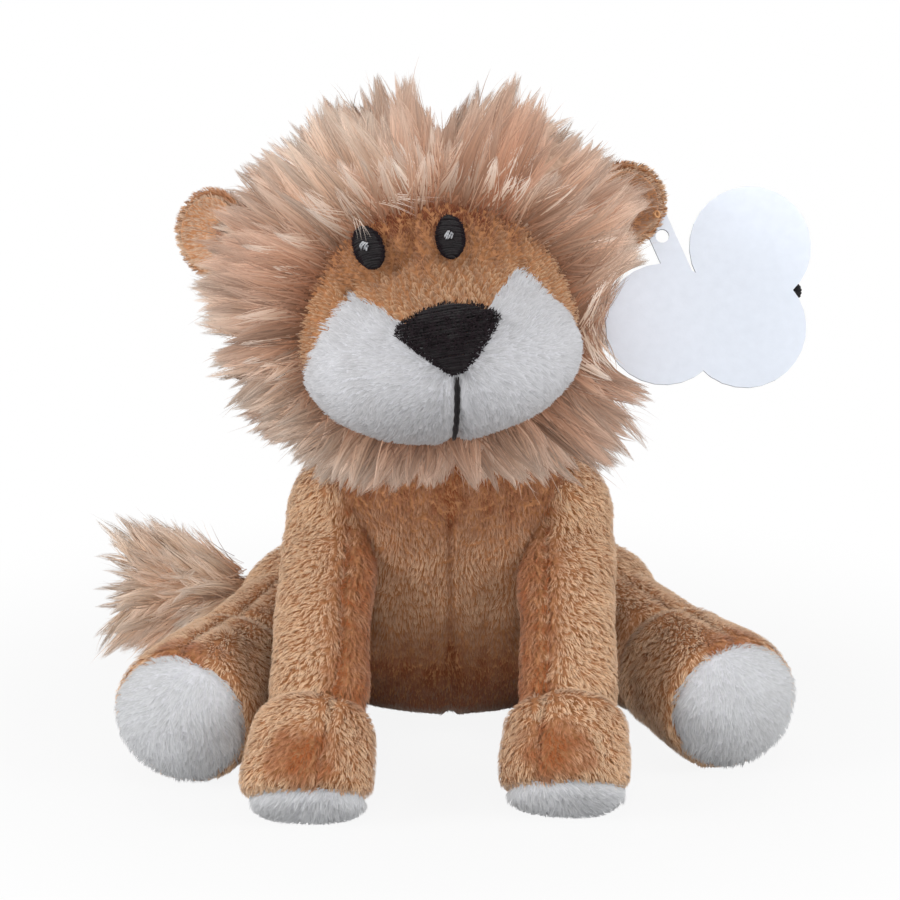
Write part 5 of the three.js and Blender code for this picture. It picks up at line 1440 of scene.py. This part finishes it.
def round_tuft(angle):
    """From the tuft's middle line to its outside, at angles round it."""
    aside = tuft_across * (np.cos(angle) * TUFT_DEPTH / 2)[:, None]
    return aside + tuft_over * (np.sin(angle) * TUFT_WIDTH / 2)[:, None]


def tuft_core():
    def point_at(along, around):
        swell = (read_shares(TUFT_SWELL_SHARES, along) * bluntness(along, TUFT_BLUNT_SHARE))[:, None]
        core_axis = pointing * TUFT_LENGTH * TUFT_CORE_SHARES[0] * along[:, None]
        return tuft_start + core_axis + round_tuft(around * TURN) * (swell * TUFT_CORE_SHARES[1])

    return poled(TUFT_RINGS, TUFT_SIDES, point_at)


tuft = show("tail_tuft_core", blender_mesh("tail_tuft_core", *tuft_core()), "tail", MANE_BACKING, "long_pile")
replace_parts(tuft, "tail_tuft")
rng = np.random.default_rng(95)
spread = round_tuft(rng.random(TUFT_LOCKS) * TURN)
tuft_roots = tuft_start + pointing * (TUFT_LENGTH * rng.uniform(*TUFT_ROOT_SHARES, TUFT_LOCKS))[:, None]
tuft_roots = tuft_roots + spread * TUFT_ROOT_SPREAD_SHARE
reach = rng.uniform(*TUFT_REACH_SHARES, TUFT_LOCKS)[:, None]
tuft_tips = tuft_roots + (pointing * TUFT_LENGTH * TUFT_TIP_SHARES[0] + spread * TUFT_TIP_SHARES[1]) * reach
tuft_bows = pointing * TUFT_BOW_SHARES[0] + rng.normal(0, TUFT_BOW_SHARES[1], (TUFT_LOCKS, 3))
tuft_facing = unit(unit(spread) + TUFT_FACING_SHARES)
hair("tail_tuft_locks", tuft_roots, tuft_tips, tuft_bows, tuft_facing, "tail", TUFT_HAIR, TUFT_HAIRS, 97,
     TUFT_SPREAD)

# Tag
tag_tilt = Matrix.Rotation(math.radians(-TAG_TILT), 3, "X")
tag_turn = np.array(tag_tilt @ Matrix.Rotation(math.radians(-TAG_TURN), 3, "Y"))
root, basis = ear_frame("right", 1)
hole_in_ear = np.array([EAR_HEIGHT - EAR_SEAT - TAG_HOLE_FROM_TIP, -TAG_HOLE_AHEAD_OF_EAR,
                        -EAR_WIDTH / 2 - TAG_HOLE_BELOW_EAR])
tag_hole = to_world((basis @ hole_in_ear + root)[None])[0]
slant = math.radians(TAG_TAB_SLANT)
thread_x, thread_z = THREAD_FROM_HOLE * math.sin(slant), THREAD_FROM_HOLE * math.cos(slant)
steps = np.linspace(0, 1, THREAD_STEPS)


def coil(angle, radius, y):
    return np.stack([thread_x + radius * np.cos(angle), y, thread_z + radius * np.sin(angle)], -1)


thread_lines = []
for ply in range(PLIES):
    y = -THREAD_REACH + (THREAD_REACH + TAG_THICKNESS) * steps
    thread_lines.append(coil(steps * TURN * PLY_TURNS + ply / PLIES * TURN, PLY_RADIUS, y))
for y in (-THREAD_REACH - KNOT_BEYOND[0], TAG_THICKNESS / 2 + KNOT_BEYOND[1]):
    radius = KNOT_RADII[0] + KNOT_RADII[1] * np.sin(steps * TURN * KNOT_WAVES[0])
    y = y + KNOT_WAVE * np.sin(steps * TURN * KNOT_WAVES[1])
    thread_lines.append(coil(steps * TURN * KNOT_TURNS, radius, y))
threads("tag_thread_plies", np.array(thread_lines) @ tag_turn.T + tag_hole, PLY_THREAD_RADIUS, "ear_right",
        TAN_THREAD, "tan_thread", "tag_thread")
low, high = (np.array(corner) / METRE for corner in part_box("tag_knot"))
angle = steps * TURN * WINDING_TURNS
polar = steps * math.pi
winding = np.stack([np.sin(polar) * np.cos(angle), np.sin(polar) * np.sin(angle), np.cos(polar)], -1)
winding = (low + high) / 2 + (high - low) / 2 * WINDING_SHARE * winding
threads("tag_knot_winding", winding[None], WINDING_RADIUS, "tag", *BLACK, "tag_knot")

card, tree, shader = node_material("white_card", 0.8)
fibre = ramp(tree, noise(tree, 500, 4), [(0.3, "e2e9f4"), (0.7, "e6edf8")])
outside = node(tree, "ShaderNodeNewGeometry", "True Normal")
aside = node(tree, "ShaderNodeVectorMath", "Value", (("operation", "DOT_PRODUCT"),), s0=outside,
             s1=tag_turn @ np.array([0, 1, 0]))
across_card = node(tree, "ShaderNodeMath", "Value", (("operation", "ABSOLUTE"),), s0=aside)
# Painted shade on the card's cut edge: where the card faces aside it is painted a darker grey.
edge_painted_shade = ramp(tree, across_card, [(0.4, "9a9aa4"), (0.6, "ffffff")])
tree.links.new(mixed(tree, "MULTIPLY", 1.0, fibre, edge_painted_shade), shader.inputs["Base Color"])
bump(tree, shader, 1800, 3, 0.15, 0.1)

# The neck's filling stays inside the torso and the head
wool, tree, shader = node_material("fibre", 0.95)
mottled(tree, shader, (700, 4, [(0.3, "d8d6d0"), (0.7, "f6f5f2")]), (900, 4, 0.8, 0.6))
for packed_node, material in (("tag", card), ("neck_filling", wool)):
    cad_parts[packed_node].data.materials.clear()
    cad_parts[packed_node].data.materials.append(material)

# Floor, light and camera
half = FLOOR_SIZE / 2
corners = [(-half, -half, 0), (half, -half, 0), (half, half, 0), (-half, half, 0)]
floor = bpy.data.objects.new("floor", blender_mesh("floor", corners, [(0, 1, 2, 3)]))
bpy.context.scene.collection.objects.link(floor)
floor_material, tree, shader = node_material("pale_floor", 0.9)
mottled(tree, shader, (3, 2, [(0.3, "bababa"), (0.7, "bebebe")]), None)
place = node(tree, "ShaderNodeTexCoord", "Object")
away = node(tree, "ShaderNodeVectorMath", "Value", (("operation", "LENGTH"),), s0=place)
fading = node(tree, "ShaderNodeMapRange", "Result", (("interpolation_type", "SMOOTHSTEP"),), Value=away,
              From_Min=SHADOW_NEAR * METRE, From_Max=SHADOW_FAR * METRE, To_Min=FLOOR_WHITE_SHARE)
seen = node(tree, "ShaderNodeLightPath", "Is Camera Ray")
share = node(tree, "ShaderNodeMath", "Value", (("operation", "MULTIPLY"),), s0=seen, s1=fading)
white = node(tree, "ShaderNodeEmission", "Emission")
lit = node(tree, "ShaderNodeMixShader", "Shader", s0=share, s1=shader.outputs["BSDF"], s2=white)
tree.links.new(lit, tree.nodes["Material Output"].inputs["Surface"])
floor.data.materials.append(floor_material)


def area_light(name, place, size, energy):
    data = bpy.data.lights.new(name, "AREA")
    data.shape, data.size, data.energy = "SQUARE", size * METRE, energy
    made = bpy.data.objects.new(name, data)
    made.location = Vector(place) * METRE
    made.rotation_euler = (LIGHT_TARGET - Vector(place)).to_track_quat("-Z", "Y").to_euler()
    bpy.context.scene.collection.objects.link(made)


for name, place, size, energy in LAMPS:
    area_light(name, place, size, energy)

world = bpy.data.worlds.new("studio")
bpy.context.scene.world = world
world.use_nodes = True
tree = world.node_tree
background = tree.nodes["Background"]
background.inputs["Strength"].default_value = 1.0
ray = tree.nodes.new("ShaderNodeLightPath").outputs
white_share = ray["Is Camera Ray"]
for kind in ("Is Glossy Ray", "Is Transmission Ray"):
    white_share = node(tree, "ShaderNodeMath", "Value", (("operation", "MAXIMUM"),), s0=white_share,
                       s1=ray[kind])
seen = mixed(tree, "MIX", white_share, WORLD_LIGHT, (1, 1, 1, 1))
tree.links.new(seen, background.inputs["Color"])
camera = bpy.data.objects.new("camera", bpy.data.cameras.new("camera"))
camera.data.lens, camera.data.sensor_width = CAMERA_LENS, CAMERA_SENSOR
camera.data.clip_start, camera.data.clip_end = CAMERA_CLIP
camera.location = Vector(CAMERA_PLACE) * METRE
aim = Vector(CAMERA_TARGET) - Vector(CAMERA_PLACE)
camera.rotation_euler = aim.to_track_quat("-Z", "Y").to_euler()
bpy.context.scene.collection.objects.link(camera)
bpy.context.scene.camera = camera
bpy.context.scene.view_settings.view_transform = "Standard"
